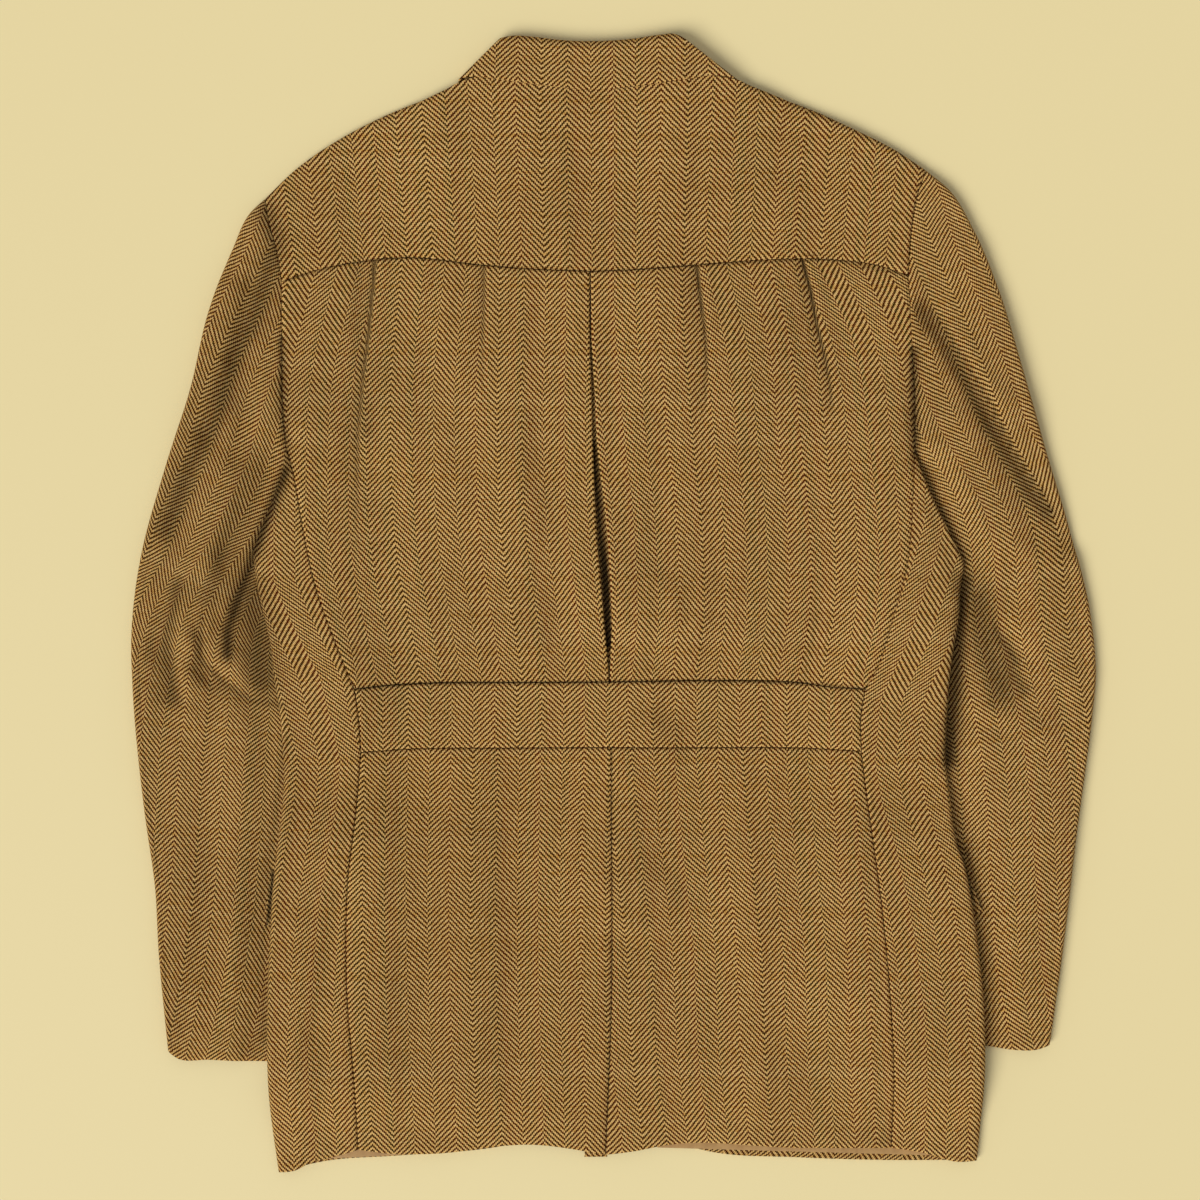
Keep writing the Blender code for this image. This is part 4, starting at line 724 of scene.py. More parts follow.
for side in SIDES:
    places, heights, scales = STRIPE_TOP[side]
    along_u = (x - at_height(y, places, heights)) * at_height(y, scales, [0.2, 0.02, -0.05])
    for fold_x, fold_y, taken, _ in TUCKS:
        if fold_x[0] * HAND[side] < 0:
            off = (at_height(y, fold_x, fold_y) - x) * HAND[side]
            along_u = along_u - HAND[side] * at_height(y, taken, fold_y) * np.clip(0.5 + off / 0.0030, 0, 1)
    weave_u[side] = along_u
step = np.diff(line[..., [0, 2]], axis=1, prepend=line[:, :1, [0, 2]])
reached = np.cumsum(np.hypot(step[..., 0], step[..., 1]), axis=1)
first, last = parts["left"][0].shape[1] - 1, x.shape[1] - parts["right"][0].shape[1]
column = np.arange(x.shape[1])[None, :]
from_left = weave_u["left"][:, first:first + 1] + reached - reached[:, first:first + 1]
from_right = weave_u["right"][:, last:last + 1] + reached - reached[:, last:last + 1]
inside = np.where(column < last - FLOOR_POINTS, from_left, from_right)
weave_u = np.where(column <= first, weave_u["left"], np.where(column >= last, weave_u["right"], inside))
back_upper = cloth("back_cloth", tweed, line + normal, line - normal, np.stack([weave_u, 0.95 * y], axis=-1))
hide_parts("back_upper")

# Half belt: a straight band of tweed set in between the back and the skirt, sewn along both edges and
# into the side-back seam at each end. It stands slightly full between its seams.
BELT_SEAM = {
    "left": [(-0.1817, -0.0603), (-0.1782, -0.0861), (-0.1774, -0.1045)],
    "right": [(0.1754, -0.0601), (0.1719, -0.0812), (0.1726, -0.1036)],
}
BELT_BOTTOM = {
    "left": [(-0.1774, -0.1045), (-0.1502, -0.1026), (-0.07, -0.1016), (-0.0024, -0.1011)],
    "right": [(-0.0024, -0.1011), (0.064, -0.1013), (0.1298, -0.1015), (0.1726, -0.1036)],
}
BELT_CROWN = 0.0012
BELT_WIDTH = 0.355
BELT_HEIGHT = 0.045

place = patch(run((BELT_TOP["left"], 0.5), (BELT_TOP["right"], 0.5)),
              run((BELT_BOTTOM["left"], 0.5), (BELT_BOTTOM["right"], 0.5)),
              BELT_SEAM["left"], BELT_SEAM["right"])
u, v = steps(146, BELT_WIDTH)[None, :], steps(18, BELT_HEIGHT)[:, None]
seam = np.minimum(np.minimum(u, 1 - u) * BELT_WIDTH, np.minimum(v, 1 - v) * BELT_HEIGHT)
crown = BELT_CROWN * np.sin(np.pi * v) ** 0.5 - dip(seam, 0.0010)
grids = [on_face(place, u, v, 1.0, 1, inset, back_face, front_face) for inset in (0.0, BACK_WALL)]
for grid in grids:
    grid[..., 2] += crown
belt = cloth("belt_cloth", tweed, *grids, grids[0][..., :2] + [0.0207, 0])
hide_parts("belt")

# Skirt: two halves of tweed below the belt, sewn together down the centre as far as the vent. Below
# that the left half laps over an extension of the right one, and both end in the hem.
SKIRT_SEAM = {
    "left": [(-0.1774, -0.1045), (-0.1817, -0.1561), (-0.1861, -0.1918), (-0.1875, -0.224),
             (-0.187, -0.2667), (-0.1817, -0.3381), (-0.1798, -0.3836)],
    "right": [(0.1726, -0.1036), (0.1784, -0.1505), (0.1864, -0.2093), (0.1926, -0.2757),
              (0.1953, -0.3472), (0.1943, -0.3822)],
}
CENTRE_SEAM = [(-0.0024, -0.1011), (-0.0024, -0.1239), (-0.0018, -0.1939), (-0.0021, -0.2779),
               (-0.0039, -0.3339), (-0.0063, -0.3871)]
HEM_BACK = {
    "left": [(-0.1798, -0.3836), (-0.153, -0.3867), (-0.128, -0.3864), (-0.0537, -0.3801),
             (-0.0063, -0.3871)],
    "right": [(-0.0063, -0.3893), (0.0106, -0.3871), (0.0374, -0.3819), (0.1298, -0.3829),
              (0.1943, -0.3822)],
}
STRIPE_SKIRT = {
    "left": ([-0.0515, -0.0536, -0.0529, -0.0494], [-0.1099, -0.2079, -0.2779, -0.3759], [1.0, 1.02, 1.03]),
    "right": ([0.0424, 0.048, 0.0557, 0.0585, 0.062, 0.0655],
              [-0.1099, -0.1729, -0.2429, -0.3129, -0.3479, -0.3759], [1.0, 1.02, 1.05]),
}
VENT_TOP = -0.1561
VENT_LAP = 0.015
VENT_GAP = 0.0012
VENT_INSIDE = 0.0010
VENT_DROP = 0.0018
VENT_THINNING = 0.7
VENT_COLUMNS = 8
SKIRT_WIDTH = 0.18
SKIRT_LENGTH = 0.285

u, v = steps(74, SKIRT_WIDTH)[None, :], steps(112, SKIRT_LENGTH)[:, None]
for side in SIDES:
    edges = (SKIRT_SEAM[side], CENTRE_SEAM)
    place = patch(BELT_BOTTOM[side], HEM_BACK[side], *edges[::HAND[side]])
    from_side, from_centre = (u, 1 - u)[::HAND[side]]
    grids = []
    for inset in (0.0, BACK_WALL):
        grid = on_face(place, u, v, 1.0, 1, inset, back_face, front_face)
        grid[..., 2] -= (dip(np.minimum(v * SKIRT_LENGTH, from_side * SKIRT_WIDTH))
                         + dip((1 - v) * SKIRT_LENGTH, 0.0010, 0.0030))
        grid[..., 2] -= dip(from_centre * SKIRT_WIDTH, 0.0009, 0.0030)
        if side == "right":
            start = grid[:, :1].copy()
            lap = []
            for shift in np.linspace(-VENT_LAP, VENT_INSIDE, VENT_COLUMNS):
                strip = start + np.array([shift, -VENT_DROP, 0])
                strip[..., 2] = back_face(strip[..., 0], strip[..., 1]) - BACK_WALL - VENT_GAP
                strip[..., 2] -= VENT_THINNING * inset
                lap.append(strip)
            grid = np.concatenate(lap + [grid], axis=1)
        grids.append(grid)
    cells = np.ones((grids[0].shape[0] - 1, grids[0].shape[1] - 1), bool)
    if side == "right":
        cells[grids[0][:-1, VENT_COLUMNS, 1] > VENT_TOP, :VENT_COLUMNS] = False
    x, y = grids[0][..., 0], grids[0][..., 1]
    places, heights, scales = STRIPE_SKIRT[side]
    along_u = (x - at_height(y, places, heights)) * at_height(y, scales, [-0.1, -0.3, -0.38])
    skirt = cloth("skirt_cloth_" + side, tweed, *grids, np.stack([along_u, y], axis=-1), cells)
    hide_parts("skirt_" + side)

# Fronts: each is one panel of tweed from the side-back seam round the fold at the coat's side, and under
# the coat to its front edge. The back shows its side part, whose stripes lean out, and the fold.
ARMHOLE_SIDE = {
    "left": [(-0.2299, 0.1099), (-0.2334, 0.0903), (-0.2404, 0.0707), (-0.2537, 0.035)],
    "right": [(0.2107, 0.1071), (0.2173, 0.0868), (0.2321, 0.0546), (0.2453, 0.028)],
}
ARMHOLE_FRONT = {
    "left": [(-0.2453, 0.2835), (-0.233, 0.245), (-0.221, 0.175)],
    "right": [(0.2188, 0.3035), (0.208, 0.245), (0.199, 0.175)],
}
HEM_SIDE = {
    "left": [(-0.1798, -0.3836), (-0.2018, -0.3899), (-0.2117, -0.392), (-0.2244, -0.3983),
             (-0.2357, -0.3997)],
    "right": [(0.1943, -0.3822), (0.2048, -0.3836), (0.2161, -0.3857), (0.2412, -0.392), (0.2545, -0.3913)],
}
HEM_FRONT = {
    "left": [(-0.2357, -0.3997), (-0.2018, -0.392), (-0.153, -0.3885), (-0.08, -0.382), (-0.0026, -0.36)],
    "right": [(0.2545, -0.3913), (0.19, -0.3915), (0.1298, -0.3897), (0.064, -0.385), (0.0006, -0.36)],
}
FRONT_UNDERARM = {
    "left": [(-0.221, 0.175), (-0.225, 0.105), (-0.2537, 0.035)],
    "right": [(0.199, 0.175), (0.206, 0.105), (0.2453, 0.028)],
}
FRONT_EDGE = {
    "left": [(-0.104, 0.361), (-0.088, 0.335), (-0.056, 0.3), (-0.03, 0.15), (-0.0045, 0.01),
             (-0.0025, -0.1), (-0.0025, -0.25), (-0.0026, -0.36)],
    "right": [(0.081, 0.361), (0.07, 0.335), (0.05, 0.3), (0.026, 0.15), (0.002, 0.01), (0.0005, -0.1),
              (0.0005, -0.25), (0.0006, -0.36)],
}
STRIPE_SIDE = {
    "left": ([-0.2384, -0.2265, -0.2125, -0.2062, -0.1915, -0.1936, -0.1999, -0.2055, -0.209, -0.2111,
              -0.2139, -0.2125, -0.2097],
             [0.0161, -0.0119, -0.0399, -0.0511, -0.1099, -0.1379, -0.1729, -0.2079, -0.2429, -0.2779,
              -0.3129, -0.3479, -0.3759]),
    "right": ([0.2321, 0.2244, 0.2146, 0.2055, 0.1992, 0.186, 0.1824, 0.1866, 0.197, 0.2048, 0.2111,
               0.2153, 0.2181, 0.2188, 0.2174],
              [0.0581, 0.0301, 0.0021, -0.0259, -0.0399, -0.0679, -0.1099, -0.1379, -0.1729, -0.2079,
               -0.2429, -0.2779, -0.3129, -0.3479, -0.3759]),
}
FRONT_WALL = 0.0024
SIDE_LENGTH = 0.50
PANEL_WIDTH = 0.06
ARM_ROWS = 9
FOLD_ROWS = 21
LOW_ROWS = ARM_ROWS + FOLD_ROWS

fold_v = steps(190, SIDE_LENGTH, first=False)
low_v = np.concatenate([np.linspace(0, ARM_ROWS / LOW_ROWS, 70)[:-1],
                        (ARM_ROWS + fold_v * FOLD_ROWS) / LOW_ROWS])
up_v = np.concatenate([np.zeros(len(low_v) - len(fold_v)), fold_v])[:, None]
on_fold = (np.arange(len(low_v)) >= len(low_v) - len(fold_v))[:, None]
for side in SIDES:
    seam = run((WAIST_SEAM[side], 7 / 21), (BELT_SEAM[side], 2 / 21), (SKIRT_SEAM[side], 12 / 21), count=630)
    up_place = patch(ARMHOLE_SIDE[side], HEM_SIDE[side], seam, run((SIDE_FOLD[side], 1), count=630))
    outside = run((ARMHOLE_FRONT[side], 5 / 30), (FRONT_UNDERARM[side], 4 / 30), (SIDE_FOLD[side], 21 / 30),
                  count=900)
    edge_line = run((FRONT_EDGE[side], 1))
    edge_y = np.interp(outside[:, 1], [outside[-1, 1], outside[0, 1]], [edge_line[-1, 1], edge_line[0, 1]])
    front_line = np.stack([np.interp(-edge_y, -edge_line[:, 1], edge_line[:, 0]), edge_y], axis=-1)
    shoulder = SHOULDER[side][:-1] + FRONT_EDGE[side][:1]
    low_place = patch(shoulder, HEM_FRONT[side], outside, front_line)
    whole = np.linalg.norm(np.diff(outside, axis=0), axis=1).sum()
    grids = []
    for inset in (0.0, FRONT_WALL):
        near = (roll_in(TURN, BODY_ROLL, inset) / whole)[:, None]
        down = np.concatenate([near, np.interp(low_v[1:, None], [0, 1], [near[-1, 0], 1])])
        rise = np.concatenate([np.sin(np.radians(TURN)), np.ones(len(low_v) - 1)])[:, None]
        pad = len(down) - len(low_v)
        up = np.concatenate([np.zeros((pad, 1)), up_v])
        folded = np.concatenate([np.zeros((pad, 1), bool), on_fold])
        low_width = np.hypot(*np.subtract(low_place(1 + 0 * down, down), low_place(0 * down, down)))
        up_width = np.hypot(*np.subtract(up_place(1 + 0 * up, up), up_place(0 * up, up)))
        panel_u = steps(24, PANEL_WIDTH, last=False)[None, :-1] * (1 - BODY_ROLL / up_width)
        roll_u = 1 - roll_in(TURN[None, ::-1], BODY_ROLL, inset) / up_width
        u = np.concatenate([panel_u, roll_u], axis=1)
        weight = np.concatenate([np.ones(panel_u.shape[1]), np.sin(np.radians(TURN[::-1]))])
        upper = on_face(up_place, u, up, weight[None, :], 1, inset, back_face, front_face)
        upper[..., 2] -= dip(np.minimum(u * up_width, up * SIDE_LENGTH)) * weight
        upper[..., 2] -= dip((1 - up) * SIDE_LENGTH, 0.0010, 0.0030) * weight
        under_u = np.where(folded, roll_in(TURN[None, 1:], BODY_ROLL, inset), SEAM) / low_width
        rest_u = np.linspace(0, 1, 34)[None, 1:] * (1 - under_u[:, -1:]) + under_u[:, -1:]
        under_u = np.concatenate([under_u, rest_u], axis=1)
        weight = np.concatenate([np.sin(np.radians(TURN[1:])), np.ones(33)])[None, :] * rise
        under = on_face(low_place, under_u, down, weight, -1, inset, back_face, front_face)
        grids.append(np.concatenate([upper, under], axis=1))
    cells = np.ones((len(down) - 1, grids[0].shape[1] - 1), bool)
    cells[:len(down) - len(fold_v), :upper.shape[1]] = False
    reached = np.cumsum(np.linalg.norm(np.diff(grids[0], axis=1, prepend=grids[0][:, :1]), axis=-1), axis=1)
    turn = panel_u.shape[1]
    flat_u = grids[0][..., 0] - at_height(grids[0][..., 1], *STRIPE_SIDE[side])
    beyond = flat_u[:, turn:turn + 1] - HAND[side] * (reached - reached[:, turn:turn + 1])
    along_u = np.where(np.arange(reached.shape[1]) < turn, flat_u, beyond)
    weave = np.stack([along_u, grids[0][..., 1]], axis=-1)
    front = cloth("front_cloth_" + side, tweed, *grids, weave, cells)
    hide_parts("front_" + side)

# Sleeves: each is a top and an under sleeve of tweed, flattened beside the coat. The top sleeve shows,
# the under sleeve wraps the outer edge and lies on the floor, and below the underarm both run in under
# the side of the coat.
SLEEVE_SIDE = {
    "left": [(-0.2299, 0.1099), (-0.2225, 0.068), (-0.215, 0.03)],
    "right": [(0.2107, 0.1071), (0.2055, 0.068), (0.197, 0.028)],
}
SLEEVE_OUTER = {
    "left": [(-0.2453, 0.2835), (-0.2555, 0.274), (-0.2685, 0.2471), (-0.2845, 0.2051), (-0.2979, 0.1491),
             (-0.316, 0.0931), (-0.3315, 0.0371), (-0.3363, 0.0091), (-0.3392, -0.0259),
             (-0.3384, -0.0539), (-0.3301, -0.1449), (-0.3223, -0.2009), (-0.32, -0.2429),
             (-0.3132, -0.3143)],
    "right": [(0.2188, 0.3035), (0.2356, 0.2891), (0.2524, 0.2611), (0.2698, 0.2191), (0.2867, 0.1631),
              (0.3028, 0.1071), (0.3196, 0.0511), (0.3336, -0.0049), (0.3377, -0.0539), (0.3357, -0.0749),
              (0.3231, -0.1729), (0.3167, -0.2289), (0.3055, -0.3101)],
}
CUFF = {
    "left": [(-0.3132, -0.3143), (-0.307, -0.319), (-0.2832, -0.3203), (-0.2425, -0.322),
             (-0.1935, -0.3213)],
    "right": [(0.3055, -0.3101), (0.2979, -0.3129), (0.2803, -0.3136), (0.2594, -0.311), (0.1858, -0.3101)],
}
STRIPE_SLEEVE = {
    "left": [(-0.1837, 0.2786), (-0.1935, 0.2541), (-0.2075, 0.2261), (-0.2208, 0.1981),
             (-0.2341, 0.1701), (-0.2453, 0.1421), (-0.251, 0.1141), (-0.2615, 0.0861), (-0.2768, 0.0581),
             (-0.2902, 0.0301), (-0.309, 0.0021), (-0.3189, -0.0259), (-0.3258, -0.0539),
             (-0.3301, -0.0819), (-0.3336, -0.1099), (-0.3349, -0.1379), (-0.3371, -0.1729),
             (-0.3398, -0.2079), (-0.3448, -0.2429), (-0.3503, -0.2779), (-0.3574, -0.3059),
             (-0.3609, -0.3227)],
    "right": [(0.162, 0.2961), (0.1732, 0.2541), (0.1852, 0.2261), (0.1978, 0.1981), (0.2104, 0.1701),
              (0.2173, 0.1421), (0.2314, 0.1141), (0.2482, 0.0861), (0.2628, 0.0581), (0.2663, 0.0301),
              (0.2677, 0.0021), (0.2692, -0.0259), (0.2776, -0.0539), (0.2838, -0.0819), (0.288, -0.1099),
              (0.2915, -0.1379), (0.2929, -0.1729), (0.2958, -0.2079), (0.2971, -0.2429),
              (0.302, -0.2779), (0.3076, -0.3059), (0.3111, -0.3213)],
}
STRIPE_SCALE = {
    "left": ([1.037, 1.037, 1.22, 1.22, 1.06, 1.06], [0.3, 0.06, 0.03, -0.025, -0.08, -0.4]),
    "right": ([1.0, 1.0], [0.3, -0.4]),
}
SLEEVE_CUT = {"top": (0.19, 0.625, 0.074), "under": (0.165, 0.61, 0.064)}
SLEEVE_ROLL = 0.0032
SLEEVE_WALL = 0.0015
SLEEVE_DEPTH = 0.0090
TUCKED_SLEEVE_DEPTH = 0.0044
SLEEVE_LENGTH = 0.60
BACK_SEAM = 0.045
FRONT_SEAM = 0.78
TOP_COLUMNS = 56
BACK_COLUMNS = 12
OVER_SLEEVE = {side: ARMHOLE_SIDE[side][1:] + SIDE_FOLD[side][1:]
               + [(0.0, SIDE_FOLD[side][-1][1]), (0.0, -0.10), (ARMHOLE_SIDE[side][1][0] * 0.90, 0.088)]
               for side in SIDES}


def sleeve_face(x, y):
    """Upper side of the sleeves: the sleeve's depth, creases and unevenness, blended to the back's height
    at the armhole and to the depth of a tucked sleeve where the coat or a pocket lies on it."""
    under = np.maximum.reduce([either(x, y, OVER_SLEEVE, 0.006, 0.022), either(x, y, POCKET, 0.004, 0.010),
                               either(x, y, POCKET_FLAP, 0.004, 0.010)])
    near = np.minimum(*[lines_to(x, y, ARMHOLE_YOKE[s] + ARMHOLE_BACK[s][1:] + ARMHOLE_SIDE[s][1:3])
                        for s in SIDES])
    t = np.clip(near / 0.045, 0, 1)
    free = SLEEVE_DEPTH + crease_height(x, y) + rumple(x, y)
    free = free + (back_face(x, y) - free) * (1 - t * t * (3 - 2 * t))
    return free + (TUCKED_SLEEVE_DEPTH - free) * under


def floor_face(x, y):
    """The floor: zero everywhere."""
    return np.zeros(np.shape(x))

v = steps(205, SLEEVE_LENGTH)[:, None]
for side in SIDES:
    top_row = run((ARMHOLE_YOKE[side], 4 / 12), (ARMHOLE_BACK[side], 5 / 12), (SLEEVE_SIDE[side], 3 / 12))
    low_row = run((ARMHOLE_FRONT[side], 5 / 9), (SLEEVE_UNDERARM[side], 4 / 9))
    up_place = patch(top_row, CUFF[side], SLEEVE_OUTER[side], SLEEVE_INNER[side])
    low_place = patch(low_row, CUFF[side], SLEEVE_OUTER[side], SLEEVE_INNER[side])
    width = np.hypot(*np.subtract(up_place(0 * v, v), up_place(0 * v + 1, v)))
    seam_u = np.linspace(0, 1, BACK_COLUMNS)[None, 1:]
    built = {"top": [], "under": []}
    for inset in (0.0, SLEEVE_WALL):
        roll = roll_in(TURN[None, :], SLEEVE_ROLL, inset) / width
        weight = np.sin(np.radians(TURN))[None, :]
        left_part = roll[:, -1:] + (BACK_SEAM - roll[:, -1:]) * seam_u
        right_part = BACK_SEAM + (1 - roll[:, -1:] - BACK_SEAM) * np.linspace(0, 1, TOP_COLUMNS)[None, :]
        one = np.ones((1, 1))

        def face(place, u, weight, kind):
            """Points of one face of the sleeve, with its dips at the armhole, the cuff and the back seam."""
            weight = np.broadcast_to(weight, u.shape)
            grid = on_face(place, u, v, weight, kind, inset, sleeve_face, floor_face)
            if kind > 0:
                grid[..., 2] -= dip(v * SLEEVE_LENGTH, 0.0012, 0.0050) * weight
                grid[..., 2] -= dip((1 - v) * SLEEVE_LENGTH, 0.0012, 0.0035) * weight
                grid[..., 2] -= dip(np.abs(u - BACK_SEAM) * width, 0.0004, 0.0020) * weight
            return grid

        back_turn = face(up_place, (1 - roll)[:, ::-1], weight[:, ::-1], 1)
        under_turn = face(low_place, 1 - roll[:, 1:], weight[:, 1:], -1)
        built["top"].append(np.concatenate([
            face(up_place, right_part, one, 1), back_turn[:, 1:], under_turn,
            face(low_place, np.linspace(1 - roll[:, -1], FRONT_SEAM, 6)[1:].T, one, -1)], axis=1))
        built["under"].append(np.concatenate([
            face(low_place, np.linspace(FRONT_SEAM + 0 * roll[:, -1], roll[:, -1], 24).T, one, -1),
            face(low_place, roll[:, :-1][:, ::-1], weight[:, :-1][:, ::-1], -1),
            face(up_place, roll[:, 1:], weight[:, 1:], 1),
            face(up_place, left_part, one, 1)], axis=1))
    points = np.array(STRIPE_SLEEVE[side])
    points = np.concatenate([[4 * points[0] - 3 * points[1]], points, [4 * points[-1] - 3 * points[-2]]])
    heights = np.linspace(0.32, -0.36, 240)
    places = np.mean([at_height(heights + near, points[:, 0], points[:, 1])
                      for near in np.linspace(-0.02, 0.02, 9)], axis=0)
    axis = np.stack([places, heights], axis=-1)
    lean = (at_height(heights + 0.06, places, heights) - at_height(heights - 0.06, places, heights)) / 0.12
    reach = np.concatenate([[0], np.cumsum(np.linalg.norm(np.diff(axis, axis=0), axis=1))])
    for kind, flat_columns, start in (("top", slice(TOP_COLUMNS), TOP_COLUMNS - 1),
                                      ("under", slice(-BACK_COLUMNS, None), -BACK_COLUMNS)):
        outer = built[kind][0]
        y = outer[..., 1]
        lean_at = at_height(y, lean, heights)
        off = outer[..., 0] - at_height(y, axis[:, 0], axis[:, 1])
        girth = np.cumsum(np.linalg.norm(np.diff(outer, axis=1, prepend=outer[:, :1]), axis=-1), axis=1)
        flat_u = HAND[side] * off * at_height(y, *STRIPE_SCALE[side])
        along_u = flat_u[:, start][:, None] + girth - girth[:, start][:, None]
        along_u[:, flat_columns] = flat_u[:, flat_columns]
        along_v = -at_height(y, reach, axis[:, 1]) + off * lean_at / np.sqrt(1 + lean_at ** 2)
        weave = np.stack([along_u, along_v], axis=-1)
        sleeve = cloth(kind + "_sleeve_cloth_" + side, tweed, *built[kind], weave)
        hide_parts(kind + "_sleeve_" + side)
        width, length, area = SLEEVE_CUT[kind]

# Collar: a fold of tweed over the neck seam of the back. Its fall has its folded edge toward the top,
# and its two ends run round under the shoulders onto the floor. The stand is the inner half.
COLLAR_TOP = 0.0126
COLLAR_WALL = 0.0020
END_SPAN = 0.090
FALL_ROLL = 0.0060
FALL_SPAN = 0.032
FALL_DEPTH = 0.030

neck_place = patch(COLLAR_FOLD, COLLAR_EDGE,
                   [COLLAR_FOLD[0], COLLAR_EDGE[0]], [COLLAR_FOLD[-1], COLLAR_EDGE[-1]])
end_place = {}
for side in SIDES:
    fold, edge = COLLAR_END[side]["fold"], COLLAR_END[side]["edge"]
    end_place[side] = patch(fold, edge, [fold[0], edge[0]], [fold[-1], edge[-1]])


def collar_face(x, y):
    """Upper side of the collar's fall: level, plus unevenness and one slow sine wave along it."""
    return COLLAR_TOP + 0.6 * rumple(x, y) + 0.0006 * np.sin(40 * x + 0.5)


span = COLLAR_EDGE[-1][0] - COLLAR_EDGE[0][0]
grids = []
for inset in (0.0, COLLAR_WALL):
    fold_v = roll_in(TURN, FALL_ROLL, inset)[:, None] / FALL_SPAN
    far_v = steps(18, FALL_DEPTH, first=False)[1:, None]
    v = np.concatenate([fold_v, fold_v[-1:] + (1 - fold_v[-1:]) * far_v])
    rise = np.concatenate([np.sin(np.radians(TURN)), np.ones(len(v) - len(TURN))])[:, None]
    roll = roll_in(TURN[None, :], BODY_ROLL, inset)
    weight = np.sin(np.radians(TURN))[None, :]
    stops = np.linspace(0.97, 0, 24)[None, :-1]
    hem = dip((1 - v) * FALL_DEPTH, 0.0009, 0.0030)
    middle = np.linspace(roll[0, -1] / span, 1 - roll[0, -1] / span, 90)[None, 1:-1]

    def over(u, weight):
        """Points of the fall over the back, rounded at its fold and dipped at its edge."""
        grid = on_face(neck_place, u, v, weight * rise, 1, inset, collar_face, floor_face)
        grid[..., 2] -= hem * weight
        return grid

    def under(side, u, weight):
        """Points of one end of the fall, under the shoulder and on the floor."""
        return on_face(end_place[side], u, v, weight, -1, inset, collar_face, floor_face)

    grids.append(np.concatenate([
        under("left", stops, 1.0), under("left", roll[:, ::-1] / END_SPAN, weight[:, ::-1])[:, :-1],
        over(roll / span, weight), over(middle, 1.0), over(1 - roll[:, ::-1] / span, weight[:, ::-1]),
        under("right", roll / END_SPAN, weight)[:, 1:], under("right", stops[:, ::-1], 1.0)], axis=1))
x, y = grids[0][..., 0], grids[0][..., 1]
collar = cloth("collar_cloth", tweed, *grids, np.stack([(x + 0.0010) * 0.952, y], axis=-1))
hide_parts("collar")

STAND_LOW = 0.0006
STAND_HIGH = 0.0062
STAND_RISE = 0.0055
STAND_REACH = 0.70

u = np.linspace(0.06, 0.94, 60)[None, :]
angle = np.radians(np.linspace(0, 90, 8))[:, None]
grids = []
for inset in (0.0, PLEAT_WALL):
    fold_v = roll_in(np.degrees(angle), FALL_ROLL, inset) / FALL_SPAN
    low = STAND_HIGH - (STAND_HIGH - STAND_LOW - inset) * np.sin(angle)
    far_v = np.linspace(0, 1, 12)[1:, None]
    v = np.concatenate([fold_v, fold_v[-1:] + (STAND_REACH - fold_v[-1:]) * far_v])
    z = np.concatenate([low, low[-1:] + STAND_RISE * far_v ** 2])
    x, y = neck_place(u, v)
    grids.append(np.stack([x, y, z + 0 * x], axis=-1))
stand = cloth("stand_cloth", tweed, *grids, grids[0][..., :2] * [0.952, 1])
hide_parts("collar_stand")

# Lapels, patch pockets and their flaps are flat pieces of tweed under the fronts, and the lining is a
# strip of ribbed sateen that shows below the back hem. Only the outer ends of the pockets and flaps
# can be seen, past the fold at each side.
LAPEL_WALL = 0.0019
LINING = {
    "left": [(-0.206, -0.356), (-0.148, -0.356), (-0.148, -0.3875), (-0.206, -0.3905)],
    "right": [(0.03, -0.35), (0.226, -0.356), (0.226, -0.388), (0.03, -0.3825)],
}
LAPEL_SIZE = (0.070, 0.290)
POCKET_WALL = 0.0014
FLAT_CUT = {
    ("pocket", "left"): (0.133, 0.15, 0.0196),
    ("pocket", "right"): (0.148, 0.152, 0.021),
    ("pocket_flap", "left"): (0.141, 0.056, 0.0072),
    ("pocket_flap", "right"): (0.15, 0.061, 0.0072),
    ("lining", "left"): (0.058, 0.035, 0.002),
    ("lining", "right"): (0.196, 0.038, 0.0064),
}
LINING_WALL = 0.0008
LINING_GAP = 0.0012
SOFT_EDGE = 0.0020
STEP = 0.003

lining, add, shader = new_material("lining")
woven = add("UVMap", uv_map="cloth")
ribs = calc(add, "SINE", calc(add, "MULTIPLY", add("SeparateXYZ", woven), 2 * np.pi / 0.0009))
mottle = calc(add, "MULTIPLY_ADD", ribs, 0.12, noise(add, woven, 120.0, 3.0))
lining.node_tree.links.new(blend_color(add, mottle, (0.270, 0.135, 0.035), (0.520, 0.310, 0.110)),
                           shader.inputs["Base Color"])
shader.inputs["Roughness"].default_value = 0.42


def flap_lift(x, y):
    """Height of the pocket where its flap lies under it: the flap's wall and the gap over it."""
    return (POCKET_WALL + LAYER_GAP) * either(x, y, POCKET_FLAP, 0.006, 0.020)


def flat_piece(name, surface, place, size, low, thick, soft=0.0004):
    """A flat piece of a size (width, length) over a lower face: the face plus its thickness, less a soft
    dip at its edges on both sides."""
    u, v = [steps(max(int(length / STEP), 6), length) for length in size]
    u, v = u[None, :], v[:, None]
    x, y = place(u, v)
    edge = dip(np.minimum(np.minimum(u, 1 - u) * size[0], np.minimum(v, 1 - v) * size[1]), soft, SOFT_EDGE)
    bottom = low(x, y)
    outer, inner = [np.stack([x, y, z], axis=-1) for z in (bottom + thick - edge, bottom + edge)]
    return cloth(name, surface, outer, inner, outer[..., :2])


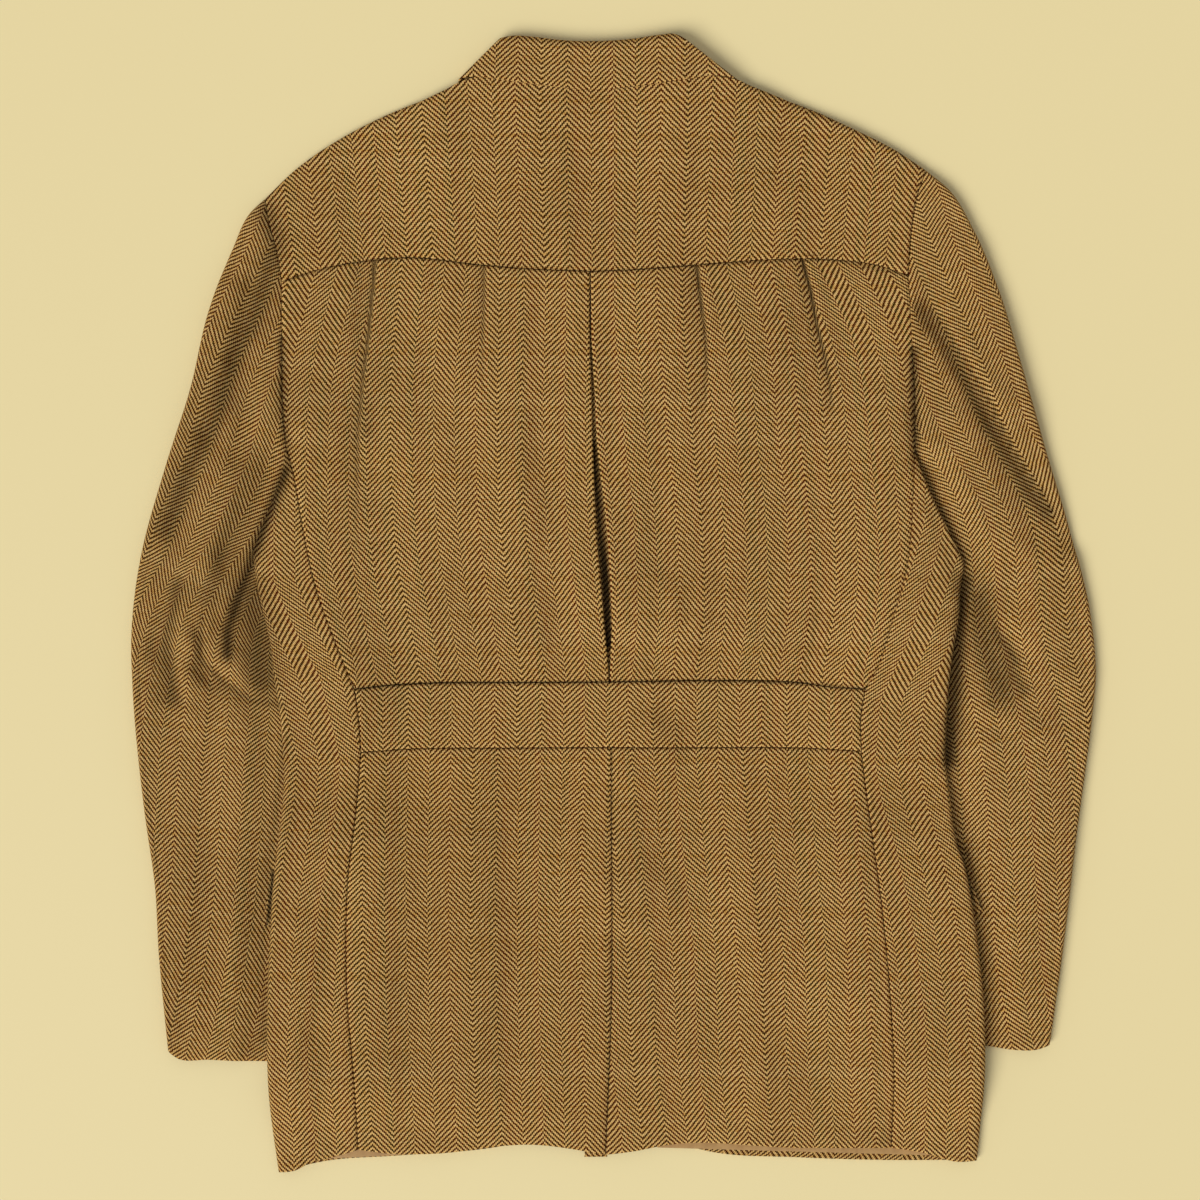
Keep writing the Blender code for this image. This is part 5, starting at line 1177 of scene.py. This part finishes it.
for side in SIDES:
    lapel = LAPEL[side]
    place = patch(lapel["gorge"], lapel["tip"], lapel["edge"], lapel["roll"])
    piece = flat_piece("lapel_cloth_" + side, tweed, place, LAPEL_SIZE, floor_face, LAPEL_WALL)
    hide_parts("lapel_" + side)
    for name, corners, low, thick in (
            ("pocket", POCKET[side], lambda x, y: sleeve_lift(x, y) + flap_lift(x, y), POCKET_WALL),
            ("pocket_flap", POCKET_FLAP[side], sleeve_lift, POCKET_WALL),
            ("lining", LINING[side], lambda x, y: front_face(x, y) + FRONT_WALL + LINING_GAP, LINING_WALL)):
        a, b, c, d = corners
        place = patch([a, b], [d, c], [a, d], [b, c])
        size = (abs(b[0] - a[0]), a[1] - d[1])
        surface, soft = (lining, 0.0001) if name == "lining" else (tweed, 0.0004)
        piece = flat_piece(name + "_cloth_" + side, surface, place, size, low, thick, soft)
        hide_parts(name + "_" + side)
        width, length, area = FLAT_CUT[name, side]

# Buttons: three discs of horn-like plastic, sewn to the right front and lying under it on the floor.
# Each has a raised rim and four holes.
BUTTON_THICKNESS = 0.0026
HOLE_OFF = 0.0022
HOLE_RADIUS = 0.0011
HOLE_DEPTH = 0.0009
RIM = 0.0003
RIM_RADIUS = 0.0092

horn, add, shader = new_material("button")
swirl = add("TexNoise", add("TexCoord", out=3), Scale=160.0, Detail=4.0, Distortion=1.6)
horn.node_tree.links.new(blend_color(add, swirl, (0.022, 0.009, 0.004), (0.210, 0.105, 0.042)),
                         shader.inputs["Base Color"])
shader.inputs["Roughness"].default_value = 0.28

radius = np.concatenate([np.linspace(0, 0.0045, 26), np.linspace(0.0050, BUTTON_RADIUS, 14)])[:, None]
turn = np.linspace(0, 2 * np.pi, 73)[None, :]
x, y = radius * np.cos(turn), radius * np.sin(turn)
for number, (button_x, button_y) in enumerate(BUTTONS, start=1):
    rim = RIM * np.exp(-((radius - RIM_RADIUS) / 0.0014) ** 2)
    edge = 0.0008 * np.clip((radius / BUTTON_RADIUS - 0.93) / 0.07, 0, 1) ** 2
    hollow = np.zeros(x.shape)
    for hole_x, hole_y in ((1, 1), (1, -1), (-1, 1), (-1, -1)):
        far = np.hypot(x - hole_x * HOLE_OFF, y - hole_y * HOLE_OFF)
        hollow = np.maximum(hollow, HOLE_DEPTH * np.clip((HOLE_RADIUS - far) / 0.0003 + 0.5, 0, 1))
    up = BUTTON_THICKNESS - RIM + rim - edge - hollow
    low = edge + hollow
    outer = np.stack([x + button_x, y + button_y, up + 0 * x], axis=-1)
    inner = np.stack([x + button_x, y + button_y, low + 0 * x], axis=-1)
    button = cloth("button_horn_%d" % number, horn, outer, inner, np.stack([x, y], axis=-1))
    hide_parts("button_%d" % number)

# Floor: the plain pale yellow surface under the coat, which only the picture needs.
floor_mesh = bpy.data.meshes.new("floor")
floor_mesh.from_pydata([(-2, -2, 0), (2, -2, 0), (2, 2, 0), (-2, 2, 0)], [], [(0, 1, 2, 3)])
floor = bpy.data.objects.new("floor", floor_mesh)
bpy.context.collection.objects.link(floor)
paper, add, shader = new_material("paper")
shader.inputs["Base Color"].default_value = (0.791, 0.665, 0.347, 1)
floor_mesh.materials.append(paper)

# Light: soft white light from all round, and one broad lamp from the lower left of the picture.
world = bpy.data.worlds.new("room")
bpy.context.scene.world = world
world.use_nodes = True
world.node_tree.nodes["Background"].inputs["Color"].default_value = (1, 1, 1, 1)
world.node_tree.nodes["Background"].inputs["Strength"].default_value = 0.42
lamp = bpy.data.lights.new("soft_light", "SUN")
lamp.energy = 2.55
lamp.angle = np.radians(36)
lamp_object = bpy.data.objects.new("soft_light", lamp)
lamp_object.rotation_euler = (np.radians(30), np.radians(-35), 0)
bpy.context.collection.objects.link(lamp_object)

# Camera: straight above the coat.
camera = bpy.data.cameras.new("camera")
camera.lens = 85
camera.sensor_width = 36
camera_object = bpy.data.objects.new("camera", camera)
camera_object.location = (-0.01015, 0.0021, 1.9933)
bpy.context.collection.objects.link(camera_object)
bpy.context.scene.camera = camera_object
bpy.context.scene.view_settings.view_transform = "Standard"
